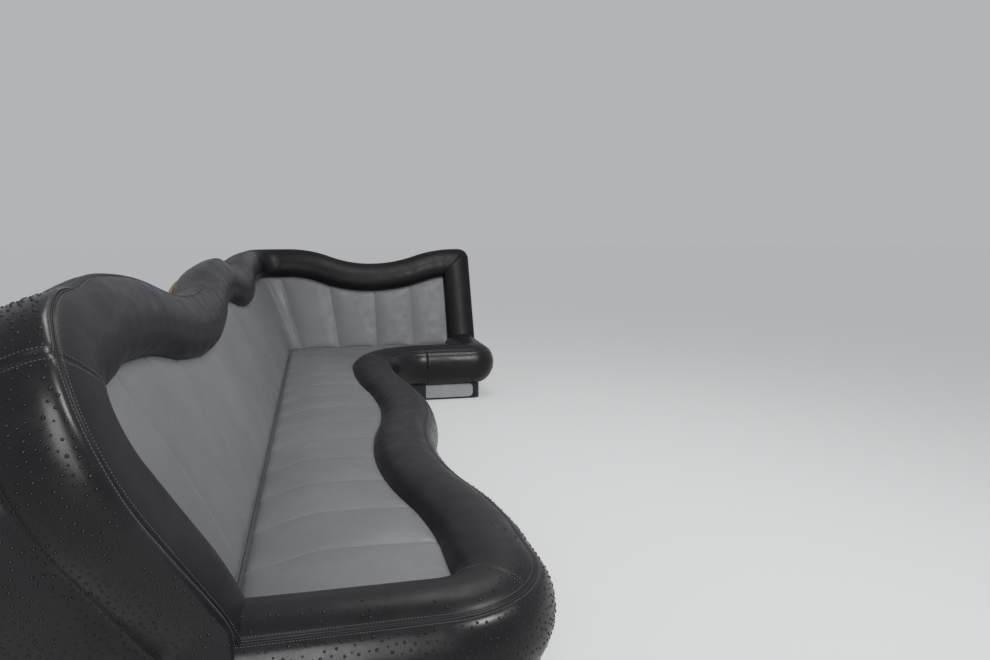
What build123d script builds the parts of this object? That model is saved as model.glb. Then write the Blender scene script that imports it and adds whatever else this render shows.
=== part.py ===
from build123d import *

import os
from collections import namedtuple
from math import atan2, cos, degrees, hypot, radians, sin, tan

os.makedirs("parts", exist_ok=True)

# Wraparound lounge bench: a long side bench against the wall, turning through a corner
# into a short rear bench. +X points into the cabin, +Y along the side bench to the rear
# bench, +Z up. The origin is on the floor, under the middle of the whole group.
# All sizes are in millimetres.
length = 3615
width = 1380
back_depth = 330
lean = 22

# Heights above the floor
kick_height = 84
deck_height = 150
crease_height = 216
pad_height = 238
crown_height = 286
seam_height = 262

# Plywood
deck_ply = 18
board_ply = 15
board_inset = 20
rib_ply = 18
kick_setback = 60

# Front edge of the seats, seen from above: the depth in front of the crease
roll_width = 175
seam_inset = 16
crown_half = 50
crown_drop = 10
bulge = 20
bulge_height = 188
bulge_half = 42
bulge_drop = 8
apron_tuck = 20
near_setback = 140
near_radius = 215
inner_radius = 210
end_radius = 100
rear_depth = 490
side_bulges = [  # share of the run between the two corners, depth
    (0.05, 555),
    (0.34, 471),
    (0.61, 533),
    (0.94, 474),
]

# Backs: pad thickness, and the roll along the scalloped top
back_pad = 90
roll_proud = 55
roll_height = 160
roll_half = 42
roll_drop = 11
roll_edge = 25
roll_fall = 14
near_edge = 15
near_top_radius = 200
near_splay = 28
near_shoulder = 10
near_shoulder_radius = 250
near_foot_radius = 150
side_scallops = [  # share of the run from the near top corner to the inner one, height
    (0, 775),
    (0.06, 790),
    (0.315, 697),
    (0.535, 767),
    (0.70, 706),
    (0.87, 760),
]
rear_scallops = [  # share of the run from the right end to the corner, height
    (0.08, 756),
    (0.56, 676),
    (1, 760),
]
pad_corner = 60
roll_corner = 50
corner_drop = 10

# Near end panel
wing_width = 60
wing_proud = 42
wing_toe = 30

# Seams between the stitched channels
channel_width = 212
channel_groove = 5

# Plywood ribs under the decks and behind the backs
side_ribs = 5
rear_ribs = 3

# Floor brackets
bracket_leg = 40
bracket_length = 60
bracket_steel = 3
bracket_hole = 7

# Strip in the toe space of the rear bench
strip_low = 10
strip_width = 68
strip_thickness = 3

gap = 0.4

tilt = radians(lean)
slope = tan(tilt)
wall_x = -width / 2
right_x = width / 2
end_x = right_x - bulge
near_y = -length / 2
rear_y = length / 2
crease_x = wall_x + back_depth
crease_y = rear_y - back_depth
crease_run = crease_y - near_y
rear_run = end_x - crease_x
upright_front = roll_proud / cos(tilt) + gap
upright_end = near_setback + roll_width
foot_u = upright_end - roll_height - gap

Leg = namedtuple("Leg", "u v heading radius turn length")


def walk(u, v, heading, steps):
    """Turn steps of (radius, turn) or (0, length) into legs laid end to end."""
    legs = []
    for radius, amount in steps:
        h = radians(heading)
        if radius == 0:
            legs.append(Leg(u, v, heading, 0, 0, amount))
            u += amount * cos(h)
            v += amount * sin(h)
        else:
            side = 1 if amount > 0 else -1
            legs.append(Leg(u, v, heading, radius, amount, 0))
            centre_u = u - side * radius * sin(h)
            centre_v = v + side * radius * cos(h)
            heading += amount
            h = radians(heading)
            u = centre_u + side * radius * sin(h)
            v = centre_v - side * radius * cos(h)
    return legs


def scallop(points):
    """Pairs of equal arcs from one crest or hollow to the next, level at each."""
    steps = []
    for (u0, v0), (u1, v1) in zip(points, points[1:]):
        half = atan2(abs(v1 - v0), u1 - u0)
        radius = hypot(u1 - u0, v1 - v0) / 4 / sin(half)
        turn = degrees(2 * half) * (1 if v1 > v0 else -1)
        steps += [(radius, turn), (radius, -turn)]
    return steps


def spot(leg, part, offset):
    """The point a share of the way along a leg, a distance to its left."""
    h = radians(leg.heading + leg.turn * part)
    if leg.radius == 0:
        u = leg.u + leg.length * part * cos(h)
        v = leg.v + leg.length * part * sin(h)
    else:
        side = 1 if leg.turn > 0 else -1
        start = radians(leg.heading)
        u = leg.u + side * leg.radius * (sin(h) - sin(start))
        v = leg.v - side * leg.radius * (cos(h) - cos(start))
    return (u - offset * sin(h), v + offset * cos(h))


def trace(legs, offset):
    """Draw the legs, moved sideways, in the line that is being built."""
    for leg in legs:
        if leg.radius == 0:
            Line(spot(leg, 0, offset), spot(leg, 1, offset))
        else:
            ThreePointArc(spot(leg, 0, offset), spot(leg, 0.5, offset), spot(leg, 1, offset))


def follow(ground, legs, section, flat):
    """Carry a section along the legs. Its x is outward and its y is up on the ground."""
    for leg in legs:
        h = radians(leg.heading)
        along = ground.x_dir * cos(h) + ground.y_dir * sin(h)
        left = ground.y_dir * cos(h) - ground.x_dir * sin(h)
        start = ground.from_local_coords(Vector(leg.u, leg.v, 0))
        outward = left if flat else ground.z_dir
        profile = section(Plane(origin=start, x_dir=outward, z_dir=along * -1))
        if leg.radius == 0:
            extrude(profile, amount=-leg.length)
        else:
            side = 1 if leg.turn > 0 else -1
            centre = start + left * (side * leg.radius)
            revolve(profile, axis=Axis(centre, ground.z_dir), revolution_arc=leg.turn)


def finish(piece, name):
    piece.part.label = name
    export_step(piece.part, f"parts/{name}.step")


# Grounds: u runs along the bench and v across it, or up the leaning back
plan = Plane(origin=(crease_x, near_y, 0), x_dir=(0, 1, 0), z_dir=(0, 0, -1))
side_face = Plane(
    origin=(crease_x, near_y, crease_height),
    x_dir=(0, 1, 0),
    z_dir=(cos(tilt), 0, sin(tilt)),
)
rear_face = Plane(
    origin=(end_x, crease_y, crease_height),
    x_dir=(1, 0, 0),
    z_dir=(0, -cos(tilt), sin(tilt)),
)
side_board_face = side_face.offset(-back_pad)
rear_board_face = rear_face.offset(-back_pad)
deck_level = Plane.XY.offset(deck_height)
crease_level = Plane.XY.offset(crease_height)
back_mitre = Plane(origin=(crease_x, crease_y, 0), x_dir=(0, 0, 1), z_dir=(1, 1, 0))


def up_face(height):
    return (height - crease_height) / cos(tilt)


# The front edge in plan, from the near end round to the right end
turn_u = near_setback + near_radius
rear_u = crease_run - rear_depth
split_u = rear_u - inner_radius
bulges = [(turn_u + share * (split_u - turn_u), depth) for share, depth in side_bulges]
first_u, first_v = bulges[0]
last_u, last_v = bulges[-1]
split_v = last_v + inner_radius
corner_v = rear_run - end_radius


def near_legs(start):
    return walk(near_setback, start, 90, [(0, first_v - near_radius - start), (near_radius, -90)])


side_steps = [(0, first_u - turn_u)] + scallop(bulges) + [(0, split_u - last_u)]
side_legs = walk(turn_u, first_v, 0, side_steps)
corner_legs = walk(split_u, last_v, 0, [(inner_radius, 90)])
rear_legs = walk(rear_u, split_v, 90, [(0, corner_v - split_v)])
end_legs = walk(rear_u, corner_v, 90, [(end_radius, -90), (0, rear_depth - end_radius - upright_front)])


def roll_section(station):
    inner = -roll_width + gap
    outer = -seam_inset - gap
    middle = (inner + outer) / 2
    brow = crown_height - crown_drop
    with BuildSketch(station) as face:
        with BuildLine():
            ThreePointArc((middle - crown_half, brow), (middle, crown_height), (middle + crown_half, brow))
            Polyline(
                (middle + crown_half, brow),
                (outer, seam_height),
                (outer, deck_height),
                (inner, deck_height),
                (inner, pad_height),
                (middle - crown_half, brow),
            )
        make_face()
    return face.sketch


def apron_section(station):
    back = -kick_setback
    top = (-seam_inset, seam_height)
    toe = (back + apron_tuck, kick_height)
    upper = (bulge - bulge_drop, bulge_height + bulge_half)
    lower = (bulge - bulge_drop, bulge_height - bulge_half)
    with BuildSketch(station) as face:
        with BuildLine():
            ThreePointArc(upper, (bulge, bulge_height), lower)
            Polyline(
                lower,
                toe,
                (back, kick_height),
                (back, deck_height),
                (-seam_inset, deck_height),
                top,
                upper,
            )
        make_face()
    return face.sketch


def kick_section(station):
    with BuildSketch(station) as face:
        with Locations((-kick_setback - gap, 0)):
            Rectangle(deck_ply, deck_height - deck_ply, align=(Align.MAX, Align.MIN))
    return face.sketch


# Decks, pads and ribs share these outlines: a straight back and the front edge
def side_outline(station, back, offset):
    front = near_legs(back) + side_legs
    start = spot(front[0], 0, offset)
    end = spot(front[-1], 1, offset)
    with BuildSketch(station) as face:
        with BuildLine():
            trace(front, offset)
            Polyline(end, (end[0], back), start)
        make_face()
    return face.sketch


def corner_outline(station, back, offset):
    start = spot(corner_legs[0], 0, offset)
    end = spot(corner_legs[-1], 1, offset)
    far = crease_run - back
    with BuildSketch(station) as face:
        with BuildLine():
            trace(corner_legs, offset)
            Polyline(end, (far, end[1]), (far, back), (start[0], back), start)
        make_face()
    return face.sketch


def rear_outline(station, back, offset):
    start = spot(rear_legs[0], 0, offset)
    end = spot(end_legs[0], 1, offset)
    far = crease_run - back
    with BuildSketch(station) as face:
        with BuildLine():
            trace(rear_legs + end_legs[:1], offset)
            Polyline(end, (far, end[1]), (far, start[1]), start)
        make_face()
    return face.sketch


# The side bench's roll, apron and kick board run on round the inner corner. The roll and
# the apron start in front of the near upright.
with BuildPart() as side_front_roll:
    follow(plan, near_legs(upright_front) + side_legs + corner_legs, roll_section, True)
finish(side_front_roll, "side_front_roll")

with BuildPart() as side_apron:
    follow(plan, near_legs(upright_front) + side_legs + corner_legs, apron_section, True)
finish(side_apron, "side_apron")

with BuildPart() as rear_apron:
    follow(plan, rear_legs + end_legs, apron_section, True)
finish(rear_apron, "rear_apron")

with BuildPart() as side_kick:
    follow(plan, near_legs(-back_depth) + side_legs + corner_legs, kick_section, True)
finish(side_kick, "side_kick_board")

with BuildPart() as rear_kick:
    follow(plan, rear_legs + end_legs, kick_section, True)
finish(rear_kick, "rear_kick_board")

# At the right end the seat roll turns on a mitre, rounded at its outer corner and
# notched round the foot of the end upright
seat_mitre = Plane(origin=(end_x, near_y + rear_u, 0), x_dir=(0, 0, 1), z_dir=(1, 1, 0))
rear_roll_legs = walk(rear_u, split_v, 90, [(0, rear_run - split_v)])
end_roll_legs = walk(rear_u, rear_run, 0, [(0, rear_depth - gap)])
mitred_rolls = [
    ("rear_front_roll", rear_roll_legs, Keep.BOTTOM),
    ("end_front_roll", end_roll_legs, Keep.TOP),
]
for name, legs, kept in mitred_rolls:
    with BuildPart() as roll:
        follow(plan, legs, roll_section, True)
        split(bisect_by=seat_mitre, keep=kept)
        limit = rear_outline(plan, 0, -seam_inset - gap)
        extrude(limit, amount=-length, mode=Mode.INTERSECT)
        with Locations((end_x, crease_y, 0)):
            Box(2 * (roll_height + gap), 2 * upright_front, length, mode=Mode.SUBTRACT)
    finish(roll, name)

outlines = {"side": side_outline, "corner": corner_outline, "rear": rear_outline}
for name, outline in outlines.items():
    with BuildPart() as deck:
        extrude(outline(plan.offset(-deck_height), -back_depth, -kick_setback - gap), amount=deck_ply)
    finish(deck, f"{name}_deck")

pad_thickness = pad_height - deck_height
with BuildPart() as side_seat:
    extrude(side_outline(plan.offset(-pad_height), 0, -roll_width), amount=pad_thickness)
finish(side_seat, "side_seat_pad")

with BuildPart() as corner_seat:
    extrude(corner_outline(plan.offset(-pad_height), 0, -roll_width), amount=pad_thickness)
    upright_edges = corner_seat.edges().filter_by(Axis.Z)
    fillet(upright_edges.sort_by_distance((crease_x, crease_y, deck_height))[0], pad_corner)
finish(corner_seat, "corner_seat_pad")

with BuildPart() as rear_seat:
    with Locations((crease_x + split_v, crease_y, deck_height)):
        Box(
            rear_run - roll_width - split_v,
            rear_depth - roll_width,
            pad_thickness,
            align=(Align.MIN, Align.MAX, Align.MIN),
        )
finish(rear_seat, "rear_seat_pad")

# Scalloped tops. The corner stays level, and each run starts and ends level.
corner_crest = side_scallops[-1][1]
first_crest = near_edge + near_top_radius
crest_run = crease_run - first_crest
side_crests = [(first_crest + share * crest_run, up_face(height)) for share, height in side_scallops]
rear_crests = [(-share * rear_run, up_face(height)) for share, height in reversed(rear_scallops)]
roll_end = crease_run + roll_corner
near_rise = side_crests[0][1] - near_top_radius
near_turn = [(near_top_radius, -90)]
side_top_steps = near_turn + scallop(side_crests) + [(0, roll_end - side_crests[-1][0])]
side_top = walk(near_edge, near_rise, 90, side_top_steps)
rear_top_steps = [(0, roll_corner)] + scallop(rear_crests) + [(0, -rear_crests[-1][0])]
rear_top = walk(-rear_run - roll_corner, rear_crests[0][1], 0, rear_top_steps)


def near_side(start, steps):
    """The near edge of the back: upright at the foot, splayed, then upright again."""
    splay = radians(near_splay)
    bends = near_foot_radius + near_shoulder_radius
    slant = (foot_u - near_edge - bends * (1 - cos(splay))) / sin(splay)
    foot_rise = near_rise - near_shoulder - bends * sin(splay) - slant * cos(splay)
    rising = [
        (0, foot_rise - start),
        (near_foot_radius, near_splay),
        (0, slant),
        (near_shoulder_radius, -near_splay),
    ]
    return walk(foot_u, start, 90, rising + steps)


def back_roll_section(station, depth=back_pad):
    low = -roll_height
    brow = roll_proud - roll_drop
    with BuildSketch(station) as face:
        with BuildLine():
            ThreePointArc((brow, low / 2 - roll_half), (roll_proud, low / 2), (brow, low / 2 + roll_half))
            Polyline(
                (brow, low / 2 + roll_half),
                (roll_edge, 0),
                (-depth, -roll_fall * depth / back_pad),
                (-depth, low),
                (0, low),
                (brow, low / 2 - roll_half),
            )
        make_face()
    return face.sketch


def corner_roll_section(station):
    up = station.y_dir * cos(tilt) - station.x_dir * sin(tilt)
    out = station.x_dir * cos(tilt) + station.y_dir * sin(tilt)
    crease = station.origin + station.x_dir * back_depth + station.y_dir * crease_height
    crest = crease + up * up_face(corner_crest)
    return back_roll_section(Plane(origin=crest, x_dir=out, z_dir=station.z_dir), back_depth)


def corner_pad_section(station):
    front = back_depth - gap
    rise = up_face(corner_crest) - roll_height - corner_drop
    top = (front - rise * sin(tilt), crease_height + rise * cos(tilt))
    with BuildSketch(station) as face:
        with BuildLine():
            Polyline(
                (-back_depth, deck_height),
                (front, deck_height),
                (front, crease_height),
                top,
                (-back_depth, top[1] - (top[0] + back_depth) * slope),
                (-back_depth, deck_height),
            )
        make_face()
    return face.sketch


def corner_legs_at(inset):
    return walk(crease_run - inset, -back_depth, 0, [(back_depth + inset, 90)])


with BuildPart() as corner_roll:
    follow(plan, corner_legs_at(-roll_corner), corner_roll_section, True)
    split(bisect_by=side_board_face, keep=Keep.TOP)
    split(bisect_by=rear_board_face, keep=Keep.TOP)

with BuildPart() as side_roll:
    follow(side_face, side_top, back_roll_section, False)
    add(corner_roll.part)
finish(side_roll, "side_back_roll")

# The right end of the rear roll meets its upright on a mitre
rear_crest = rear_crests[-1][1]
end_mitre = Plane(
    origin=rear_face.from_local_coords((0, rear_crest, 0)),
    x_dir=rear_face.z_dir,
    z_dir=rear_face.x_dir + rear_face.y_dir * -1,
)
with BuildPart() as rear_roll:
    follow(rear_face, rear_top, back_roll_section, False)
    split(bisect_by=end_mitre, keep=Keep.BOTTOM)
finish(rear_roll, "rear_back_roll")

with BuildPart() as corner_pad:
    follow(plan, corner_legs_at(pad_corner), corner_pad_section, True)
    split(bisect_by=side_board_face, keep=Keep.TOP)
    split(bisect_by=rear_board_face, keep=Keep.TOP)
finish(corner_pad, "corner_back_pad")

with BuildPart() as end_upright:
    end_upright_legs = walk(0, rear_crest, -90, [(0, rear_crest + back_pad)])
    follow(rear_face, end_upright_legs, back_roll_section, False)
    split(bisect_by=end_mitre, keep=Keep.TOP)
    split(bisect_by=crease_level, keep=Keep.TOP)
    extrude(end_upright.faces().sort_by(Axis.Z)[0], amount=crease_height - deck_height)
    split(bisect_by=rear_board_face, keep=Keep.TOP)
finish(end_upright, "end_upright_roll")

with BuildPart() as near_upright:
    follow(side_face, near_side(-back_pad, [(0, near_shoulder - gap)]), back_roll_section, False)
    split(bisect_by=crease_level, keep=Keep.TOP)
    extrude(near_upright.faces().sort_by(Axis.Z)[0], amount=crease_height - deck_height)
    split(bisect_by=side_board_face, keep=Keep.TOP)
finish(near_upright, "near_upright_roll")


def face_outline(station, top_legs, offset, start, end, low):
    """The area under a scalloped top, between two ends, down to a low line."""
    first = spot(top_legs[0], 0, offset)
    last = spot(top_legs[-1], 1, offset)
    with BuildSketch(station) as face:
        with BuildLine():
            trace(top_legs, offset)
            Polyline(last, (last[0], low), (first[0], low), first)
        make_face()
        with Locations(((start + end) / 2, 0)):
            Rectangle(end - start, 4 * back_depth + length, mode=Mode.INTERSECT)
    return face.sketch


def foot_section(station):
    """Below the crease a back pad stands straight down behind the seat."""
    back = Vector(-gap, crease_height) + Vector(-cos(tilt), -sin(tilt)) * back_pad
    floor_back = back.X + (back.Y - deck_height) * slope
    with BuildSketch(station) as face:
        with BuildLine():
            Polyline(
                (-gap, deck_height),
                (-gap, crease_height),
                (back.X, back.Y),
                (floor_back, deck_height),
                (-gap, deck_height),
            )
        make_face()
    return face.sketch


def cut_channels(ground, start, end):
    """Stitched grooves that run up the pad, evenly spaced from its first edge."""
    count = round(abs(end - start) / channel_width)
    pitch = (end - start) / count
    for number in range(1, count):
        foot = ground.from_local_coords((start + number * pitch, 0, 0))
        with BuildSketch(Plane(origin=foot, x_dir=ground.x_dir, z_dir=ground.y_dir)) as groove:
            Rectangle(2 * channel_groove, 2 * channel_groove, rotation=45)
        extrude(groove.sketch, amount=length, mode=Mode.SUBTRACT)


side_pad_start = upright_end
side_pad_end = crease_run - pad_corner
rear_pad_start = -rear_run + pad_corner
rear_pad_end = -roll_height - gap
with BuildPart() as side_pad:
    side_edge = near_side(gap, [(0, near_shoulder)] + side_top_steps)
    side_area = face_outline(side_face, side_edge, -roll_height - gap, near_edge, side_pad_end, 0)
    extrude(side_area, amount=-back_pad)
    side_foot = walk(side_pad_start, 0, 0, [(0, side_pad_end - side_pad_start)])
    follow(plan, side_foot, foot_section, True)
    cut_channels(side_face, side_pad_start, side_pad_end)
finish(side_pad, "side_back_pad")

with BuildPart() as rear_pad:
    rear_area = face_outline(rear_face, rear_top, -roll_height, rear_pad_start, rear_pad_end, 0)
    extrude(rear_area, amount=-back_pad)
    rear_foot = walk(crease_run, pad_corner, 90, [(0, rear_pad_end - rear_pad_start)])
    follow(plan, rear_foot, foot_section, True)
    cut_channels(rear_face, rear_pad_start, rear_pad_end)
finish(rear_pad, "rear_back_pad")

# Plywood back boards, one leaning on each run, mitred where they meet
board_low = -2 * back_pad
board_top = -2 * roll_fall
side_sheet_top = side_top + walk(roll_end, side_top[-1].v, 0, [(0, back_depth)])
rear_sheet_top = walk(-rear_run - back_depth, rear_top[0].v, 0, [(0, back_depth - roll_corner)]) + rear_top


def side_sheet(depth):
    plane = side_board_face.offset(-gap - depth)
    start = max(foot_u - near_edge + wing_width, first_crest) + gap
    return face_outline(plane, side_sheet_top, board_top, start, crease_run + back_depth, board_low)


def rear_sheet(depth):
    plane = rear_board_face.offset(-gap - depth)
    return face_outline(plane, rear_sheet_top, board_top, -rear_run - back_depth, -board_inset, board_low)


boards = [
    ("side", side_sheet, Keep.BOTTOM),
    ("rear", rear_sheet, Keep.TOP),
]
for name, sheet, kept in boards:
    with BuildPart() as board:
        extrude(sheet(0), amount=-board_ply)
        split(bisect_by=deck_level, keep=Keep.TOP)
        split(bisect_by=back_mitre, keep=kept)
    finish(board, f"{name}_back_board")

# Ribs: plates square to each run, under the decks and behind the boards
base_height = deck_height - deck_ply
rib_front = -kick_setback - deck_ply - 2 * gap
side_pitch = (split_u - turn_u) / side_ribs
rear_pitch = (right_x - crease_x) / rear_ribs
side_rib_places = [turn_u + (number + 0.5) * side_pitch for number in range(side_ribs)]
rear_rib_places = [(number + 0.5) * rear_pitch for number in range(rear_ribs)]

for number, u in enumerate(side_rib_places, 1):
    with BuildPart() as rib:
        extrude(side_outline(plan, -back_depth, rib_front), amount=-base_height)
        with Locations((0, near_y + u, 0)):
            Box(2 * width, rib_ply, 2 * deck_height, mode=Mode.INTERSECT)
    finish(rib, f"side_base_rib_{number}")

    with BuildPart() as brace:
        extrude(side_sheet(board_ply + gap), amount=-back_depth)
        with Locations((wall_x, near_y + u, deck_height)):
            Box(back_depth, rib_ply, length, align=(Align.MIN, Align.CENTER, Align.MIN), mode=Mode.INTERSECT)
    finish(brace, f"side_back_rib_{number}")

for number, u in enumerate(rear_rib_places, 1):
    outline = rear_outline if u < right_x - crease_x - split_v else corner_outline
    with BuildPart() as rib:
        extrude(outline(plan, -back_depth, rib_front), amount=-base_height)
        with Locations((right_x - u, 0, 0)):
            Box(rib_ply, 2 * length, 2 * deck_height, mode=Mode.INTERSECT)
    finish(rib, f"rear_base_rib_{number}")

    with BuildPart() as brace:
        extrude(rear_sheet(board_ply + gap), amount=-back_depth)
        with Locations((right_x - u, rear_y, deck_height)):
            Box(rib_ply, back_depth, length, align=(Align.CENTER, Align.MAX, Align.MIN), mode=Mode.INTERSECT)
    finish(brace, f"rear_back_rib_{number}")

# Near end panel: one padded end from the floor, up the splayed near edge and over the top
# corner. It wraps the outer side of the near upright and stands behind it to the wall.
def wing_section(station):
    inner = near_edge - wing_width
    with BuildSketch(station) as face:
        with BuildLine():
            Polyline(
                (-2 * back_depth, inner),
                (-back_pad - gap, inner),
                (-back_pad - gap, gap),
                (wing_proud, gap),
                (wing_proud, near_edge),
                (-2 * back_depth, near_edge),
                (-2 * back_depth, inner),
            )
        make_face()
    return face.sketch


wing_front = wing_proud / cos(tilt)
wing_knee = crease_height + (wing_front - wing_toe) / slope
wing_reach = wing_front - (length - crease_height) * slope
end_view = Plane(origin=(crease_x, near_y, 0), x_dir=(1, 0, 0), z_dir=(0, -1, 0))
with BuildPart() as wing:
    follow(side_face, near_side(-back_depth, [(0, near_shoulder)] + near_turn), wing_section, False)
    with BuildSketch(end_view) as side_view:
        with BuildLine():
            Polyline((wing_toe, 0), (wing_toe, wing_knee), (wing_reach, length))
            Polyline((wing_reach, length), (wing_reach, 0), (wing_toe, 0))
        make_face()
        with Locations((-back_depth, 0)):
            Rectangle(width, length, align=(Align.MIN, Align.MIN), mode=Mode.INTERSECT)
    extrude(side_view.sketch, amount=-width, mode=Mode.INTERSECT)
finish(wing, "near_end_panel")

# Grey strip along the toe space of the rear bench
strip_start = crease_x + split_v
strip_length = end_x - end_radius - strip_start
strip_corner = (strip_start, near_y + rear_u + kick_setback, strip_low)
with BuildPart() as strip:
    with BuildSketch(Plane(origin=strip_corner, x_dir=(1, 0, 0), z_dir=(0, -1, 0))):
        Rectangle(strip_length, strip_width, align=(Align.MIN, Align.MIN))
        fillet(vertices().group_by(Axis.X)[-1], strip_width / 3)
    extrude(amount=strip_thickness)
finish(strip, "rear_kick_strip")


# Steel angle brackets that screw each base rib to the floor
def angle_bracket(station, name):
    with BuildPart() as angle:
        with BuildSketch(station):
            with BuildLine():
                Polyline(
                    (0, 0),
                    (bracket_leg, 0),
                    (bracket_leg, bracket_steel),
                    (bracket_steel, bracket_steel),
                    (bracket_steel, bracket_leg),
                    (0, bracket_leg),
                    (0, 0),
                )
            make_face()
        extrude(amount=bracket_length / 2, both=True)
        with Locations(station.from_local_coords(Vector(bracket_leg / 2, 0, 0))):
            Hole(bracket_hole / 2)
    finish(angle, name)


for number, u in enumerate(side_rib_places, 1):
    place = Plane(origin=(crease_x, near_y + u + rib_ply / 2 + gap, 0), x_dir=(0, 1, 0), z_dir=(1, 0, 0))
    angle_bracket(place, f"side_bracket_{number}")
for number, u in enumerate(rear_rib_places, 1):
    place = Plane(origin=(right_x - u + rib_ply / 2 + gap, crease_y, 0), x_dir=(1, 0, 0), z_dir=(0, -1, 0))
    angle_bracket(place, f"rear_bracket_{number}")
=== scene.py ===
from collections import namedtuple
from math import atan2, ceil, cos, degrees, exp, hypot, pi, radians, sin, tanh

import bmesh
import bpy
from mathutils import Matrix, Vector, noise
from mathutils.bvhtree import BVHTree


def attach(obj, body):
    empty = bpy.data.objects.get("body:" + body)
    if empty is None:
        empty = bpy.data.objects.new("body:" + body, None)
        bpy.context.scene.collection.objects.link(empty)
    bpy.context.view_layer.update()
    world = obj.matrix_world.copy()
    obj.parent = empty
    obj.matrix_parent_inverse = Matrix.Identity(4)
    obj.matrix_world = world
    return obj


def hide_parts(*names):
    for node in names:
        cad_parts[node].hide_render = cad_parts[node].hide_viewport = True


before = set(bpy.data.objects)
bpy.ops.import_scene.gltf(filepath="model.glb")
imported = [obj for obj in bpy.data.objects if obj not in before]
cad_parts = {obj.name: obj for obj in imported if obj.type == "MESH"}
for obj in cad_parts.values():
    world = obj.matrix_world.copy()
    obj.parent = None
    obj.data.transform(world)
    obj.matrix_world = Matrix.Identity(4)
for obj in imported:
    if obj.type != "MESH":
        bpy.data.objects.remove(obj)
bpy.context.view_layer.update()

print("frame loaded")

# Wraparound lounge bench: rolls, aprons, stitched pads and an end panel in leather over
# plywood. Lengths are metres in the frame of the CAD model, sections are millimetres.
milli = 0.001
bench = {
    "length": 3.615,
    "width": 1.38,
    "backDepth": 0.330,
    "lean": radians(22),
    "creaseHeight": 0.216,
    "rollWidth": 0.175,  # seat roll, in front of the grey pads
    "nearSetback": 0.140,
    "nearRadius": 0.215,
    "innerRadius": 0.210,
    "endRadius": 0.100,
    "rearDepth": 0.490,
    "sideBulges": [(0.05, 0.555), (0.34, 0.471), (0.61, 0.533), (0.94, 0.474)],
    "rollProud": 0.055,
    "rollHeight": 0.160,  # back roll, above the grey pads
    "nearEdge": 0.015,
    "topRadius": 0.200,
    "splay": 28,
    "shoulder": 0.010,
    "shoulderRadius": 0.250,
    "footRadius": 0.150,
    "sideCrests": [(0, 0.775), (0.06, 0.790), (0.315, 0.697), (0.535, 0.767), (0.70, 0.706), (0.87, 0.760)],
    "rearCrests": [(0, 0.760), (0.44, 0.676), (0.92, 0.756)],
    "padCorner": 0.060,
    "rollCorner": 0.050,
    "endCorner": 0.060,
    "channel": 0.212,
    "bulge": 0.020,
}

nearY = -bench["length"] / 2
creaseX = -bench["width"] / 2 + bench["backDepth"]
creaseY = bench["length"] / 2 - bench["backDepth"]
wallX = -bench["width"] / 2
endX = bench["width"] / 2 - bench["bulge"]
creaseRun = creaseY - nearY
rearRun = endX - creaseX
lean = bench["lean"]
uprightFront = bench["rollProud"] / cos(lean)


def addThing(name, data):
    thing = bpy.data.objects.new(name, data)
    bpy.context.scene.collection.objects.link(thing)
    return thing


def makeCamera():
    view = {
        "place": (-0.20, -2.7625, 0.868),
        "turn": (radians(90 - 7.47), 0, radians(-13.157)),
        "lens": 27.4545,
        "sensor": 36,
    }
    camera = addThing("viewCamera", bpy.data.cameras.new("viewCamera"))
    camera.location = view["place"]
    camera.rotation_euler = view["turn"]
    camera.data.lens = view["lens"]
    camera.data.sensor_width = view["sensor"]
    camera.data.clip_end = 60
    bpy.context.scene.camera = camera


makeCamera()

# Paths: chains of straight and curved legs in a plane, u along it and v across it

Leg = namedtuple("Leg", "u v heading radius turn length")
Ground = namedtuple("Ground", "origin uDir vDir normal flat")
Row = namedtuple("Row", "matrix along")

upY = Vector((0, 1, 0))
upZ = Vector((0, 0, 1))
upX = Vector((1, 0, 0))
plan = Ground(Vector((creaseX, nearY, 0)), upY, upX, upZ, True)
sideFace = Ground(
    Vector((creaseX, nearY, bench["creaseHeight"])),
    upY,
    Vector((-sin(lean), 0, cos(lean))),
    Vector((cos(lean), 0, sin(lean))),
    False,
)
rearFace = Ground(
    Vector((endX, creaseY, bench["creaseHeight"])),
    upX,
    Vector((0, sin(lean), cos(lean))),
    Vector((0, -cos(lean), sin(lean))),
    False,
)


def walkLegs(u, v, heading, steps):
    legs = []
    for radius, amount in steps:
        h = radians(heading)
        if radius == 0:
            legs.append(Leg(u, v, h, 0, 0, amount))
            u += amount * cos(h)
            v += amount * sin(h)
        else:
            side = 1 if amount > 0 else -1
            legs.append(Leg(u, v, h, radius, radians(amount), radius * radians(abs(amount))))
            centreU, centreV = u - side * radius * sin(h), v + side * radius * cos(h)
            heading += amount
            h = radians(heading)
            u, v = centreU + side * radius * sin(h), centreV - side * radius * cos(h)
    return legs


def scallop(points):
    steps = []
    for (u0, v0), (u1, v1) in zip(points, points[1:]):
        half = atan2(abs(v1 - v0), u1 - u0)
        radius = hypot(u1 - u0, v1 - v0) / 4 / sin(half)
        turn = degrees(2 * half) * (1 if v1 > v0 else -1)
        steps += [(radius, turn), (radius, -turn)]
    return steps


def pathLength(legs):
    return sum(leg.length for leg in legs)


def pathPoint(legs, distance):
    for leg in legs:
        if distance <= leg.length or leg is legs[-1]:
            break
        distance -= leg.length
    if leg.radius == 0:
        return leg.u + distance * cos(leg.heading), leg.v + distance * sin(leg.heading), leg.heading
    side = 1 if leg.turn > 0 else -1
    h = leg.heading + leg.turn * distance / leg.length
    u = leg.u + side * leg.radius * (sin(h) - sin(leg.heading))
    v = leg.v - side * leg.radius * (cos(h) - cos(leg.heading))
    return u, v, h


def columns(x, y, z, origin):
    matrix = Matrix((x, y, z)).transposed().to_4x4()
    matrix.translation = origin
    return matrix


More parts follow.
